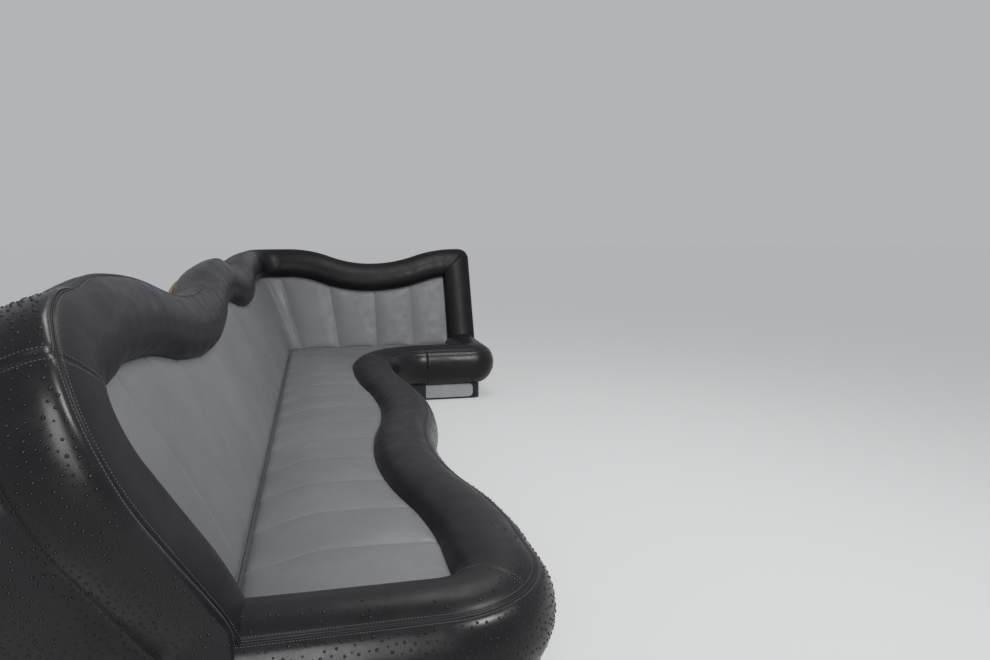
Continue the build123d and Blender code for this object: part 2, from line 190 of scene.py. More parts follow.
def stationAt(ground, u, v, heading):
    left = ground.vDir * cos(heading) - ground.uDir * sin(heading)
    along = ground.uDir * cos(heading) + ground.vDir * sin(heading)
    origin = ground.origin + ground.uDir * u + ground.vDir * v
    x, y = (left, ground.normal) if ground.flat else (ground.normal, left)
    return columns(x, y, along, origin)


seamSteps = (-0.009, -0.0035, 0, 0.0035, 0.009)  # rows beside a seam
seamLap = 0.0032  # each side of a seam reaches this far past it
rowGap = 0.005  # the even rows keep this far from the rows beside a seam


def spread(start, end, spacing, marks=(), laps=(False, False)):
    # even distances, with close rows on both sides of each seam and at lapped ends
    close = {round(mark + step, 6) for mark in marks for step in seamSteps}
    if laps[0]:
        close |= {round(start + step, 6) for step in seamSteps[3:]}
        start -= seamLap
    if laps[1]:
        close |= {round(end - step, 6) for step in seamSteps[3:]}
        end += seamLap
    close = [d for d in close if start < d < end]
    count = max(1, ceil((end - start) / spacing))
    even = [start + (end - start) * n / count for n in range(count + 1)]
    kept = [d for d in even if d in (start, end) or all(abs(d - c) > rowGap for c in close)]
    return sorted(kept + close)


def pathRows(ground, legs, distances, fan=None, shift=0.0):
    # fan: (first, last, pivot u, pivot v, width) spreads the rows round a corner
    rows = []
    for d in distances:
        matrix = stationAt(ground, *pathPoint(legs, d))
        if fan and fan[0] < d < fan[1]:
            pivot = ground.origin + ground.uDir * fan[2] + ground.vDir * fan[3]
            left = (matrix.translation - pivot) / fan[4]
            x, y, along = (matrix.col[n].to_3d() for n in range(3))
            x, y = (left, y) if ground.flat else (x, left)
            matrix = columns(x, y, along, matrix.translation)
        rows.append(Row(matrix, d + shift))
    return rows


# Meshes swept from a section in millimetres, one row of vertices for each place on a path

def floatLayer(items, name):
    return items.layers.float.get(name) or items.layers.float.new(name)


def onRow(row, x, y):
    return row.matrix @ Vector((x * milli, y * milli, 0))


def sweepInto(bm, rows, shape, tuck=(0.0, 0.0)):
    # carries a closed section along the rows with one extrude for each; tuck draws in the ends
    alongLayer, acrossLayer = floatLayer(bm.verts, "along"), floatLayer(bm.verts, "across")
    creaseLayer = floatLayer(bm.edges, "crease_edge")
    section = shape(rows[0])
    across = [0.0]
    for (x0, y0), (x1, y1) in zip(section, section[1:]):
        across.append(across[-1] + hypot(x1 - x0, y1 - y0) * milli)
    ring = []
    for (x, y), distance in zip(section, across):
        vert = bm.verts.new(onRow(rows[0], x, y))
        vert[alongLayer] = rows[0].along
        vert[acrossLayer] = distance
        ring.append(vert)
    edges = [bm.edges.new((a, b)) for a, b in zip(ring, ring[1:] + ring[:1])]
    firstEdges = edges
    rings = [ring]
    for row in rows[1:]:
        grown = bmesh.ops.extrude_edge_only(bm, edges=edges)["geom"]
        fresh = {item for item in grown if isinstance(item, bmesh.types.BMVert)}
        edges = [e for e in grown if isinstance(e, bmesh.types.BMEdge) and set(e.verts) <= fresh]
        after = []
        for vert in ring:
            after.append(next(e.other_vert(vert) for e in vert.link_edges if e.other_vert(vert) in fresh))
        for vert, (x, y) in zip(after, shape(row)):
            vert.co = onRow(row, x, y)
            vert[alongLayer] = row.along
        ring = after
        rings.append(ring)
    for end, depth in ((rings[0], tuck[0]), (rings[-1], tuck[1])):
        if depth:
            for vert in end:
                centre = sum((v.co for v in end), Vector()) / len(end)
                vert.co += (centre - vert.co).normalized() * depth
    for ends in (firstEdges, edges):
        bmesh.ops.holes_fill(bm, edges=ends, sides=0)
        for edge in ends:
            edge[creaseLayer] = 1.0
    return rings


def steadyOrder(bm):
    # the operators order edges and faces anew each run, so both are sorted by their vertices
    bm.verts.index_update()
    for items in (bm.edges, bm.faces):
        for number, item in enumerate(sorted(items, key=lambda item: sorted(v.index for v in item.verts))):
            item.index = number
        items.sort()
    mesh = bpy.data.meshes.new("steady")
    bm.to_mesh(mesh)
    bm.clear()
    bm.from_mesh(mesh)
    bpy.data.meshes.remove(mesh)


def addObject(name, bm):
    mesh = bpy.data.meshes.new(name)
    bm.to_mesh(mesh)
    bm.free()
    return addThing(name, mesh)


def addSmooth(piece):
    smooth = piece.modifiers.new("smooth", "SUBSURF")
    smooth.levels = smooth.render_levels = 1


def makePiece(name, bm, material, nodes=(), smooth=True):
    steadyOrder(bm)
    bmesh.ops.recalc_face_normals(bm, faces=bm.faces[:])
    piece = addObject(name, bm)
    piece.data.polygons.foreach_set("use_smooth", [True] * len(piece.data.polygons))
    piece.data.materials.append(material)
    if smooth:
        addSmooth(piece)
    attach(piece, "root")
    if nodes:
        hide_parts(*nodes)
    return piece


def pushOut(bm, amount):
    # moves each vertex along its normal by amount(position, along)
    steadyOrder(bm)
    bm.normal_update()
    alongLayer = bm.verts.layers.float["along"]
    moves = [(vert, vert.normal * amount(vert.co, vert[alongLayer])) for vert in bm.verts]
    for vert, move in moves:
        vert.co += move


def ripples(place, waves, base=0.0):
    # soft unevenness: each wave has a height, a scale and a seed
    def ripple(scale, seed):
        return noise.noise(Vector((place.x * scale + seed, place.y * scale - seed, place.z * scale + 2 * seed)))

    return sum((height * ripple(scale, seed) for height, scale, seed in waves), base)


def makePadded(name, runs, shape, puff, nodes, slot="black_leather"):
    # one padded piece from runs of rows, each with the tuck of its first and last end
    bm = bmesh.new()
    for rows, tuck in runs:
        sweepInto(bm, rows, shape, tuck)
    pushOut(bm, puff)
    makePiece(name, bm, materials[slotLeathers[slot]], nodes)


# Materials: the groups for grain and wear give only values, the colours and the shader stay outside

def setInputs(node, values):
    for name, value in values.items():
        node.inputs[name].default_value = value
    return node


def addNode(tree, kind, inputs=None, **settings):
    node = tree.nodes.new(kind)
    for name, value in settings.items():
        setattr(node, name, value)
    return setInputs(node, inputs or {})


def addMath(tree, operation, inputs=None):
    return addNode(tree, "ShaderNodeMath", inputs, operation=operation)


def wire(tree, *wires):
    # each wire is a node, its output, the next node and its input
    for start, outName, end, inName in wires:
        tree.links.new(start.outputs[outName], end.inputs[inName])


def newGroup(name, inputs, outputs):
    group = bpy.data.node_groups.new(name, "ShaderNodeTree")
    for socket, value in inputs.items():
        made = group.interface.new_socket(socket, in_out="INPUT", socket_type="NodeSocketFloat")
        made.default_value = value
    for socket in outputs:
        group.interface.new_socket(socket, in_out="OUTPUT", socket_type="NodeSocketFloat")
    return group, group.nodes.new("NodeGroupInput"), group.nodes.new("NodeGroupOutput")


def makeGrain():
    # leather: small rounded cells between fine creases, and pores
    group, entry, leave = newGroup("leatherGrain", {"Scale": 700.0, "Creases": 0.4}, ["Height", "Pores"])
    place = addNode(group, "ShaderNodeTexCoord")
    cells = addNode(group, "ShaderNodeTexVoronoi", {"Randomness": 0.9}, feature="DISTANCE_TO_EDGE")
    warp = addNode(group, "ShaderNodeTexNoise", {"Scale": 90.0, "Detail": 3.0, "Distortion": 0.6})
    level = addNode(group, "ShaderNodeMapRange", {"From Max": 0.22}, interpolation_type="SMOOTHSTEP")
    weigh = addMath(group, "MULTIPLY")
    total = addMath(group, "ADD")
    pores = addNode(group, "ShaderNodeTexVoronoi", {"Randomness": 1.0}, feature="F1")
    third = addMath(group, "MULTIPLY", {1: 0.45})
    dots = addNode(
        group, "ShaderNodeMapRange", {"From Min": 0.08, "From Max": 0.22}, interpolation_type="SMOOTHSTEP"
    )
    wire(
        group,
        (place, "Object", cells, "Vector"), (place, "Object", warp, "Vector"), (place, "Object", pores, "Vector"),
        (entry, "Scale", cells, "Scale"), (entry, "Scale", third, 0), (third, 0, pores, "Scale"),
        (cells, "Distance", level, "Value"), (entry, "Creases", weigh, 0), (warp, "Fac", weigh, 1),
        (weigh, 0, total, 0), (level, "Result", total, 1), (pores, "Distance", dots, "Value"),
        (total, 0, leave, "Height"), (dots, "Result", leave, "Pores"),
    )
    return group


def makePatina():
    # broad changes of tone and polish where the leather has been sat on and wiped
    group, entry, leave = newGroup("patina", {"Size": 5.0}, ["Tone", "Polish"])
    place = addNode(group, "ShaderNodeTexCoord")
    broad = addNode(group, "ShaderNodeTexNoise", {"Detail": 4.0, "Roughness": 0.6})
    fine = addNode(group, "ShaderNodeTexNoise", {"Scale": 24.0, "Detail": 3.0, "Roughness": 0.6})
    tone = addNode(group, "ShaderNodeMapRange", {"From Min": 0.32, "From Max": 0.70})
    polish = addNode(group, "ShaderNodeMapRange", {"From Min": 0.36, "From Max": 0.66})
    wire(
        group,
        (place, "Object", broad, "Vector"), (place, "Object", fine, "Vector"), (entry, "Size", broad, "Scale"),
        (broad, "Fac", tone, "Value"), (fine, "Fac", polish, "Value"),
        (tone, "Result", leave, "Tone"), (polish, "Result", leave, "Polish"),
    )
    return group


grainGroup = makeGrain()
patinaGroup = makePatina()


def newMaterial(name):
    material = bpy.data.materials.new(name)
    material.use_nodes = True
    tree = material.node_tree
    return material, tree, tree.nodes["Principled BSDF"]


def mixColours(tree, **colours):
    opaque = {name: (*colour, 1) for name, colour in colours.items()}
    return addNode(tree, "ShaderNodeMix", opaque, data_type="RGBA")


def finishSurface(tree, shader, look, colour, polish, height=None):
    # colour, polish and height are each a node and its output
    gloss = addNode(tree, "ShaderNodeMapRange", {"To Min": look["smooth"], "To Max": look["rough"]})
    wire(tree, (*colour, shader, "Base Color"), (*polish, gloss, "Value"), (gloss, "Result", shader, "Roughness"))
    if height:
        bump = addNode(tree, "ShaderNodeBump", {"Strength": look["bump"], "Distance": look["bumpDepth"]})
        wire(tree, (*height, bump, "Height"), (bump, "Normal", shader, "Normal"))


leatherSockets = {
    "specular": "Specular IOR Level", "sheen": "Sheen Weight", "sheenRoughness": "Sheen Roughness",
    "coat": "Coat Weight", "coatRoughness": "Coat Roughness",
}


def makeLeather(name, look):
    material, tree, shader = newMaterial(name)
    setInputs(shader, {socket: look[key] for key, socket in leatherSockets.items()})
    texture = {"Scale": look["grainScale"], "Creases": look["creases"]}
    grain = addNode(tree, "ShaderNodeGroup", texture, node_tree=grainGroup)
    patina = addNode(tree, "ShaderNodeGroup", {"Size": look["patch"]}, node_tree=patinaGroup)
    tones = mixColours(tree, A=look["dark"], B=look["light"])
    pores = mixColours(tree, A=look["pore"])
    wire(tree, (patina, "Tone", tones, "Factor"), (grain, "Pores", pores, "Factor"), (tones, "Result", pores, "B"))
    finishSurface(tree, shader, look, (pores, "Result"), (patina, "Polish"), (grain, "Height"))
    return material


baseLook = {
    "specular": 0.4, "coat": 0.0, "coatRoughness": 0.4, "sheen": 0.0, "sheenRoughness": 0.45,
    "grainScale": 300.0, "creases": 0.4, "bumpDepth": 0.0005,
}
threadLook = {
    **baseLook, "smooth": 0.50, "rough": 0.66, "sheen": 0.1, "grainScale": 1400.0, "patch": 9.0, "bump": 0.2,
    "bumpDepth": 0.0003,
}
leatherLooks = {
    "blackLeather": {
        **baseLook,
        "dark": (0.0062, 0.0060, 0.0072), "light": (0.0110, 0.0106, 0.0128), "pore": (0.006, 0.006, 0.0065),
        "smooth": 0.35, "rough": 0.46, "specular": 0.19, "coatRoughness": 0.14, "creases": 0.8, "patch": 3.5,
        "bump": 0.025,
    },
    "quillLeather": {
        **baseLook,
        "dark": (0.0060, 0.0058, 0.0070), "light": (0.0112, 0.0108, 0.0130), "pore": (0.006, 0.006, 0.0065),
        "smooth": 0.25, "rough": 0.37, "specular": 0.27, "coat": 0.06, "coatRoughness": 0.12, "creases": 0.9,
        "patch": 5.0, "bump": 0.05,
    },
    "greyLeather": {
        **baseLook,
        "dark": (0.128, 0.131, 0.138), "light": (0.165, 0.169, 0.178), "pore": (0.085, 0.087, 0.092),
        "smooth": 0.42, "rough": 0.58, "specular": 0.45, "coat": 0.04, "coatRoughness": 0.35, "sheen": 0.05,
        "creases": 0.6, "patch": 2.6, "bump": 0.05,
    },
    # black thread, with its tone lifted far above black as a painted highlight on the stitches
    "blackThread": {
        **threadLook,
        "dark": (0.060, 0.060, 0.064), "light": (0.095, 0.095, 0.100), "pore": (0.04, 0.04, 0.042),
    },
    # light grey thread, with its own tone lifted further as a painted highlight on the stitches
    "greyThread": {
        **threadLook,
        "dark": (0.25, 0.255, 0.265), "light": (0.33, 0.335, 0.345), "pore": (0.18, 0.18, 0.19),
    },
    "blackVinyl": {
        **baseLook,
        "dark": (0.012, 0.012, 0.013), "light": (0.020, 0.020, 0.021), "pore": (0.008, 0.008, 0.009),
        "smooth": 0.48, "rough": 0.62, "grainScale": 900.0, "creases": 0.5, "patch": 4.0, "bump": 0.25,
    },
    "stripPlastic": {
        **baseLook,
        "dark": (0.42, 0.44, 0.46), "light": (0.52, 0.54, 0.56), "pore": (0.34, 0.35, 0.37),
        "smooth": 0.34, "rough": 0.48, "specular": 0.5, "grainScale": 1100.0, "creases": 0.3, "patch": 6.0,
        "bump": 0.12, "bumpDepth": 0.0003,
    },
}
materials = {name: makeLeather(name, look) for name, look in leatherLooks.items()}
slotLeathers = {"black_leather": "blackLeather", "quill_leather": "quillLeather", "grey_leather": "greyLeather"}
print("materials ready")

# Seat rolls and aprons, along the serpentine front edge and round the right end

rollWidth = bench["rollWidth"]
turnU = bench["nearSetback"] + bench["nearRadius"]
rearU = creaseRun - bench["rearDepth"]
splitU = rearU - bench["innerRadius"]
bulges = [(turnU + share * (splitU - turnU), depth) for share, depth in bench["sideBulges"]]
firstU, firstV = bulges[0]
lastU, lastV = bulges[-1]
splitV = lastV + bench["innerRadius"]

sideLegs = walkLegs(
    bench["nearSetback"],
    uprightFront,
    90,
    [(0, firstV - bench["nearRadius"] - uprightFront), (bench["nearRadius"], -90), (0, firstU - turnU)]
    + scallop(bulges)
    + [(0, splitU - lastU), (bench["innerRadius"], 90)],
)
rearStraight = rearRun - bench["endRadius"] - splitV
endStraight = bench["rearDepth"] - bench["endRadius"] - uprightFront
rearLegs = walkLegs(rearU, splitV, 90, [(0, rearStraight), (bench["endRadius"], -90), (0, endStraight)])
sideTotal = pathLength(sideLegs)
rearTotal = pathLength(rearLegs)
fanStart = rearRun - rollWidth - splitV
fanEnd = rearTotal - (bench["rearDepth"] - rollWidth - uprightFront)
seatFan = (fanStart, fanEnd, rearU + rollWidth, rearRun - rollWidth, rollWidth)
seatMitre = (fanStart + fanEnd) / 2

seatRoll = {
    "section": [
        (-175, 152), (-175, 222), (-171, 238), (-158, 257), (-134, 275), (-100, 285), (-68, 285),
        (-42, 278), (-26, 268), (-17, 259.5), (-18, 246), (-28, 152),
    ],
    "spacing": 0.013,
    "rearSpacing": 0.011,
    "reach": 0.065,  # the ends run on behind the uprights' faces
    "cornerSeam": 0.47,  # distance of the curved seam at the near corner
    "tuck": 0.0016,
    "welt": (-17, 260, 0.50, 0.866),  # place on the section, then the way it faces
    "waves": [(0.0016, 8, 0.0), (0.0003, 24, 3.0)],
}
apron = {
    "section": [
        (-21, 260), (-12, 258.5), (-1, 251), (9, 234), (16.5, 211), (20, 186), (17, 160), (7, 132),
        (-10, 108), (-30, 91), (-42, 85), (-58, 84), (-60, 100), (-60, 149), (-32, 149), (-27, 240),
    ],
    "spacing": 0.014,
    "reach": 0.042,
}


def fixedShape(section):
    return lambda row: section


def seatPuff(place, along):
    return ripples(place, seatRoll["waves"])


def makeSeatRolls():
    shape, tuck = fixedShape(seatRoll["section"]), seatRoll["tuck"]
    spacing, reach, split = seatRoll["spacing"], seatRoll["reach"], seatRoll["cornerSeam"]
    near = pathRows(plan, sideLegs, spread(-reach, split, spacing, laps=(False, True)))
    far = pathRows(plan, sideLegs, spread(split, sideTotal, spacing, laps=(True, True)))
    makePadded("sideSeatRoll", [(near, (0, tuck)), (far, (tuck, tuck))], shape, seatPuff, ["side_front_roll"])
    rear = []
    marks = [0, seatMitre, rearTotal + reach]
    for start, end in zip(marks, marks[1:]):
        distances = spread(start, end, seatRoll["rearSpacing"], laps=(True, True))
        rear.append((pathRows(plan, rearLegs, distances, seatFan), (tuck, tuck)))
    makePadded("rearSeatRoll", rear, shape, seatPuff, ["rear_front_roll", "end_front_roll"])


def makeAprons():
    shape, reach = fixedShape(apron["section"]), apron["reach"]
    aprons = [
        ("sideApron", sideLegs, -reach, sideTotal, "side_apron"),
        ("rearApron", rearLegs, 0, rearTotal + reach, "rear_apron"),
    ]
    for name, legs, first, last, node in aprons:
        rows = pathRows(plan, legs, spread(first, last, apron["spacing"]))
        makePadded(name, [(rows, (0, 0))], shape, seatPuff, [node], "quill_leather")


makeSeatRolls()
makeAprons()
print("seat rolls and aprons made")

# Back rolls: up the splayed near edge, along the scallops, round the corner and down the right end

def upFace(height):
    return (height - bench["creaseHeight"]) / cos(lean)


topRadius = bench["topRadius"]
nearEdge = bench["nearEdge"]
rollHeight = bench["rollHeight"]
footU = bench["nearSetback"] + rollWidth - rollHeight
firstCrest = nearEdge + topRadius
crestRun = creaseRun - firstCrest
sideCrests = [(firstCrest + share * crestRun, upFace(height)) for share, height in bench["sideCrests"]]
rearCrests = [((share - 1) * rearRun, upFace(height)) for share, height in bench["rearCrests"]]
nearRise = sideCrests[0][1] - topRadius
splay = radians(bench["splay"])
bendRadii = bench["footRadius"] + bench["shoulderRadius"]
slant = (footU - nearEdge - bendRadii * (1 - cos(splay))) / sin(splay)
footRise = nearRise - bench["shoulder"] - bendRadii * sin(splay) - slant * cos(splay)
nearSteps = [
    (bench["footRadius"], bench["splay"]),
    (0, slant),
    (bench["shoulderRadius"], -bench["splay"]),
    (0, bench["shoulder"]),
    (topRadius, -90),
]
footDrop = 0.060
sideTopLegs = walkLegs(
    footU,
    -footDrop,
    90,
    [(0, footRise + footDrop)]
    + nearSteps
    + scallop(sideCrests)
    + [(0, creaseRun + bench["rollCorner"] - sideCrests[-1][0])],
)
nearLength = pathLength(sideTopLegs[:5])
topArc = topRadius * pi / 2
endRun = -rearCrests[-1][0] - bench["endCorner"]
rearTopLegs = walkLegs(
    -rearRun - bench["rollCorner"],
    rearCrests[0][1],
    0,
    [(0, bench["rollCorner"])]
    + scallop(rearCrests)
    + [(0, endRun), (bench["endCorner"], -90), (0, rearCrests[-1][1] - bench["endCorner"] + footDrop)],
)
sideTopTotal = pathLength(sideTopLegs)
rearTopTotal = pathLength(rearTopLegs)
downRun = rearCrests[-1][1] + footDrop
backFanEnd = rearTopTotal - (downRun - rollHeight)
backFanStart = backFanEnd - 2 * (rollHeight - bench["endCorner"]) - bench["endCorner"] * pi / 2
backFan = (backFanStart, backFanEnd, -rollHeight, rearCrests[-1][1] - rollHeight - 0.002, rollHeight)
backMitre = (backFanStart + backFanEnd) / 2

rollUnder = [(55, -86), (51, -110), (42, -134), (27, -152), (6, -160), (-30, -160), (-90, -160)]
backRoll = {
    "section": [
        (-90, -15), (-60, -8), (-28, -2), (0, 0), (16, -2), (27, -6), (38, -15), (49, -38), (54, -66),
    ] + rollUnder,
    "upright": [
        (-90, -4), (-60, -2), (-28, -1), (12, -1), (40, -0.5), (46, -3), (48.5, -13), (52.5, -36), (54.5, -66),
    ] + rollUnder,
    "spacing": 0.013,
    "rearSpacing": 0.011,
    "radialSeam": 36.5,  # degrees round the near top corner
    "tuck": 0.0016,
    "square": 0.2,  # share of the top arc up to which the edge stays square
    "round": 0.35,  # distance past the arc where it is fully rounded
    "weltTop": (29, -7, 0.50, 0.866),
    "weltUpright": (44.5, -1, 0.93, 0.37),
    "waves": [(0.0016, 7, 1.0), (0.0003, 22, 5.0)],
    "pleats": (0.0018, 0.034, 0.022),  # height, width and period of the pleats at the mitre
}
radialSeam = nearLength + topRadius * radians(backRoll["radialSeam"])
cornerCrest = sideCrests[-1][1]


def turnedOut(turn):
    # level and straight out of the corner, from the side face to the rear face
    return Vector((cos(turn), -sin(turn), 0))


def leanOut(turn):
    return turnedOut(turn) * cos(lean) + upZ * sin(lean)


def cornerMatrix(turn):
    # the roll turns about an upright axis behind the corner
    out = turnedOut(turn)
    axis = Vector((creaseX - bench["rollCorner"], creaseY + bench["rollCorner"], bench["creaseHeight"]))
    up = upZ * cos(lean) - out * sin(lean)
    along = Vector((sin(turn), cos(turn), 0))
    return columns(leanOut(turn), up, along, axis + out * bench["rollCorner"] + up * cornerCrest)


cornerRadius = cornerCrest * sin(lean) - bench["rollCorner"]
cornerTotal = cornerRadius * pi / 2


def smoothStep(value, low, high):
    t = min(1, max(0, (value - low) / (high - low)))
    return t * t * (3 - 2 * t)


def overTop(along):
    # from 0 beside the end panel, where the edge is square, to 1 along the rounded top
    return smoothStep(along, nearLength + backRoll["square"] * topArc, nearLength + topArc + backRoll["round"])


def blend(a, b, t):
    return (1 - t) * a + t * b


def backShape(row):
    t = overTop(row.along)
    pairs = zip(backRoll["upright"], backRoll["section"])
    return [(blend(a, c, t), blend(b, d, t)) for (a, b), (c, d) in pairs]


def backPuff(place, along):
    height, width, period = backRoll["pleats"]
    gap = along - sideTopTotal - cornerTotal - backMitre
    pleats = height * exp(-((gap / width) ** 2)) * cos(2 * pi * gap / period)
    return ripples(place, backRoll["waves"], pleats)


def makeBackRolls():
    spacing, rearSpacing, tuck = backRoll["spacing"], backRoll["rearSpacing"], backRoll["tuck"]
    shift = sideTopTotal + cornerTotal
    near = pathRows(sideFace, sideTopLegs, spread(0, radialSeam, spacing, laps=(False, True)))
    side = pathRows(sideFace, sideTopLegs, spread(radialSeam, sideTopTotal, spacing, laps=(True, False)))
    for d in spread(0, cornerTotal, spacing, laps=(False, True))[1:]:
        side.append(Row(cornerMatrix(d / cornerRadius), sideTopTotal + d))
    rear, end = (
        pathRows(rearFace, rearTopLegs, spread(first, last, rearSpacing, laps=(True, True)), backFan, shift)
        for first, last in ((0, backMitre), (backMitre, rearTopTotal))
    )
    rolls = [
        ("nearUprightRoll", near, "near_upright_roll"),
        ("sideBackRoll", side, "side_back_roll"),
        ("rearBackRoll", rear, "rear_back_roll"),
        ("endUprightRoll", end, "end_upright_roll"),
    ]
    for name, rows, node in rolls:
        makePadded(name, [(rows, (tuck, tuck))], backShape, backPuff, [node])


makeBackRolls()
print("back rolls made")

# Near end panel: plump quilled leather from the floor up the splayed edge and over the corner

endPanel = {
    "front": [
        (38, -1), (44.5, -0.5), (47, 4), (44, 13), (35, 20), (18, 25), (-8, 26), (-36, 22.5), (-56, 15), (-65, 8),
        (-73, 10), (-86, 19), (-125, 24),
    ],
    "inner": [(-92, -44), (-91, -3), (-40, -2.5), (10, -2)],
    "fade": (0.55, 1.0),  # shares of the top arc over which the padding thins, then sinks
    "thin": 0.88,
    "sink": (1.0, 1.2),
    "depth": 5,
    "ease": (15, 6),  # how far the front edge goes back and down with the rounded top
    "run": 0.05,
    "edge": 14,
    "spacing": 0.014,
    "toe": 0.030,
    "footSet": 0.042,
    "footRows": 14,
    "footBend": (0.5, 0.55),  # shares of the foot's height where it moves back, then tilts
    "lift": 0.055,  # height along the leaning face where the path takes over
    "waves": [(0.0022, 7, 2.0), (0.0006, 20, 4.0)],
    "seamDip": (0.0035, 0.006),
}


def panelShape(row):
    # the back of the section stays at the wall
    origin, outward, left = row.matrix.translation, row.matrix.col[0], row.matrix.col[1]

    def wall(y):
        return ((wallX - origin.x) / milli - left.x * y) / outward.x

    edge = endPanel["edge"]
    arc = (row.along - nearLength) / topArc
    thin = 1 - endPanel["thin"] * smoothStep(arc, *endPanel["fade"])
    sink = endPanel["depth"] * smoothStep(arc, *endPanel["sink"])
    back, down = endPanel["ease"]
    middle = 0.5 * wall(0)
    rear = [(middle - 62, edge + 8), (wall(edge) + 14, edge + 1), (wall(edge - 3) + 1, edge - 3)]
    t = overTop(row.along)
    section = []
    for x, y in endPanel["front"] + rear:  # the front edge keeps to the welt
        hold = t * smoothStep(x, -40, 30)
        section.append((x - back * hold, (y * thin if y > 2 else y) - sink - down * hold))
    return section + [(wall(-42) + 1, -42), (middle - 46, -44)] + endPanel["inner"]


def panelPuff(place, along):
    depth, width = endPanel["seamDip"]
    return ripples(place, endPanel["waves"]) - depth * exp(-(((along - radialSeam) / width) ** 2))


def makeEndPanel():
    steps, lift = endPanel["footRows"], endPanel["lift"]
    toe = endPanel["toe"] - endPanel["footSet"]
    moves, tilts = endPanel["footBend"]
    top = stationAt(sideFace, footU, lift, pi / 2).translation
    rows = []
    for n in range(steps):  # upright below the seat, then leaning
        t = n / steps
        tilt = lean * smoothStep(t, tilts, 1.0)
        height = t * top.z
        setback = toe + (top.x - creaseX - toe) * smoothStep(t, moves, 1.0)
        face = Vector((cos(tilt), 0, sin(tilt)))
        along = Vector((-sin(tilt), 0, cos(tilt)))
        place = Vector((creaseX + setback, nearY + footU, height))
        rows.append(Row(columns(face, -upY, along, place), height - top.z))
    distances = spread(footDrop + lift, nearLength + topArc + endPanel["run"], endPanel["spacing"], [radialSeam])
    rows += pathRows(sideFace, sideTopLegs[:7], distances)
    makePadded("nearEndPanel", [(rows, (0, 0))], panelShape, panelPuff, ["near_end_panel"], "quill_leather")


makeEndPanel()
print("end panel made")

# Grey pads, each one sheet of leather over its channels

def offsetPoint(legs, distance, offset):
    u, v, h = pathPoint(legs, distance)
    return u - offset * sin(h), v + offset * cos(h)


def crossLines(legs, offset, step=0.004):
    total = pathLength(legs)
    count = ceil(total / step)
    return [offsetPoint(legs, total * n / count, offset) for n in range(count + 1)]


def readLine(line, u):
    # v of a line at u, the line given as points with rising u
    if u <= line[0][0]:
        return line[0][1]
    for (u0, v0), (u1, v1) in zip(line, line[1:]):
        if u0 <= u <= u1 and u1 > u0:
            return v0 + (v1 - v0) * (u - u0) / (u1 - u0)
    return line[-1][1]


padTuck = 0.006  # the pads reach this far under the rolls
padStart = bench["nearSetback"] + rollWidth - padTuck
fillet = bench["padCorner"]
nudge = 0.0001  # reads a line just past one of its corners
padHold = {"seam": 0.0012, "end": 0.004}  # points this near a seam or an end are held
grooveWidth = 0.008
cloth = {"frames": 20, "mass": 0.3, "stretch": 15, "bending": 0.5}
seatPad = {
    "spacing": 0.016,
    "across": 24,
    "shows": (4, 1),  # first point of the section that shows, and the last one past "across"
    "front": 0.2385,
    "crease": 0.222,
    "crown": 0.010,
    "low": 0.151,
    "under": 10,
    "cap": 0.007,
    "pressure": 4.0,
    "groove": 0.0036,
    "frontDrop": 0.006,
    "creaseDrop": 0.012,
    "bend": 0.026,
    "bendRun": (0.25, 1.5, 2.1),  # distances where the bend is full, starts to fade and ends
    "bendShare": 0.42,
}


def share(number, count):
    # from 0 to 1 across a pad, closer together at both edges
    return (1 - cos(pi * min(1, max(0, number / count)))) / 2


def nearestMark(distance, marks):
    return min((abs(distance - mark) for mark in marks), default=1)


def channelMarks(start, end, first=1):
    # the seams between even channels, and their pitch
    count = round((end - start) / bench["channel"])
    pitch = (end - start) / count
    return [start + n * pitch for n in range(first, count)], pitch


def seatBend(t, distance):
    # the channels of the side bench curve towards the near end beside the crease
    full, fade, end = seatPad["bendRun"]
    run = smoothStep(distance, 0.0, full) * (1 - smoothStep(distance, fade, end))
    return Vector((0, -seatPad["bend"] * (1 - smoothStep(t, 0.0, seatPad["bendShare"])) * run, 0))


def seatPadRows():
    # foot on the crease, front under the roll, distance along the pad and distance to a seam
    spacing, radius = seatPad["spacing"], bench["innerRadius"] + rollWidth - padTuck
    rows = []

    def add(foot, front, distance, seam):
        ends = [Vector((creaseX + v, nearY + u, 0)) for u, v in (foot, front)]
        rows.append((*ends, distance, seam))

    rising = [p for p in crossLines(sideLegs, padTuck - rollWidth) if p[0] >= padStart - 0.0005]
    marks, pitch = channelMarks(padStart, creaseRun - fillet)
    for u in spread(padStart, splitU, spacing, marks):
        add((u, 0), (u, readLine(rising, u + nudge)), u - padStart, nearestMark(u, marks))
    # corner: the crease line turns through its fillet, the front line round its wide arc
    creaseLegs = walkLegs(splitU, 0, 0, [(0, creaseRun - fillet - splitU), (fillet, 90), (0, splitV - fillet)])
    total = pathLength(creaseLegs)
    base = splitU - padStart
    marks = [n * pitch - base for n in range(1, 2 * len(marks))]
    marks = [mark for mark in marks if 0.01 < mark < total + pitch]
    for d in spread(0, total, spacing, [mark for mark in marks if mark < total])[1:]:
        turn = pi / 2 * d / total
        front = splitU + radius * sin(turn), splitV - radius * cos(turn)
        add(pathPoint(creaseLegs, d)[:2], front, base + d, nearestMark(d, marks))
    # rear run
    rest = rearRun - rollWidth - splitV + padTuck
    for d in spread(0, rest, spacing, [mark - total for mark in marks if mark > total])[1:]:
        foot, front = (creaseRun, splitV + d), (rearU + rollWidth - padTuck, splitV + d)
        add(foot, front, base + total + d, nearestMark(total + d, marks))
    return rows


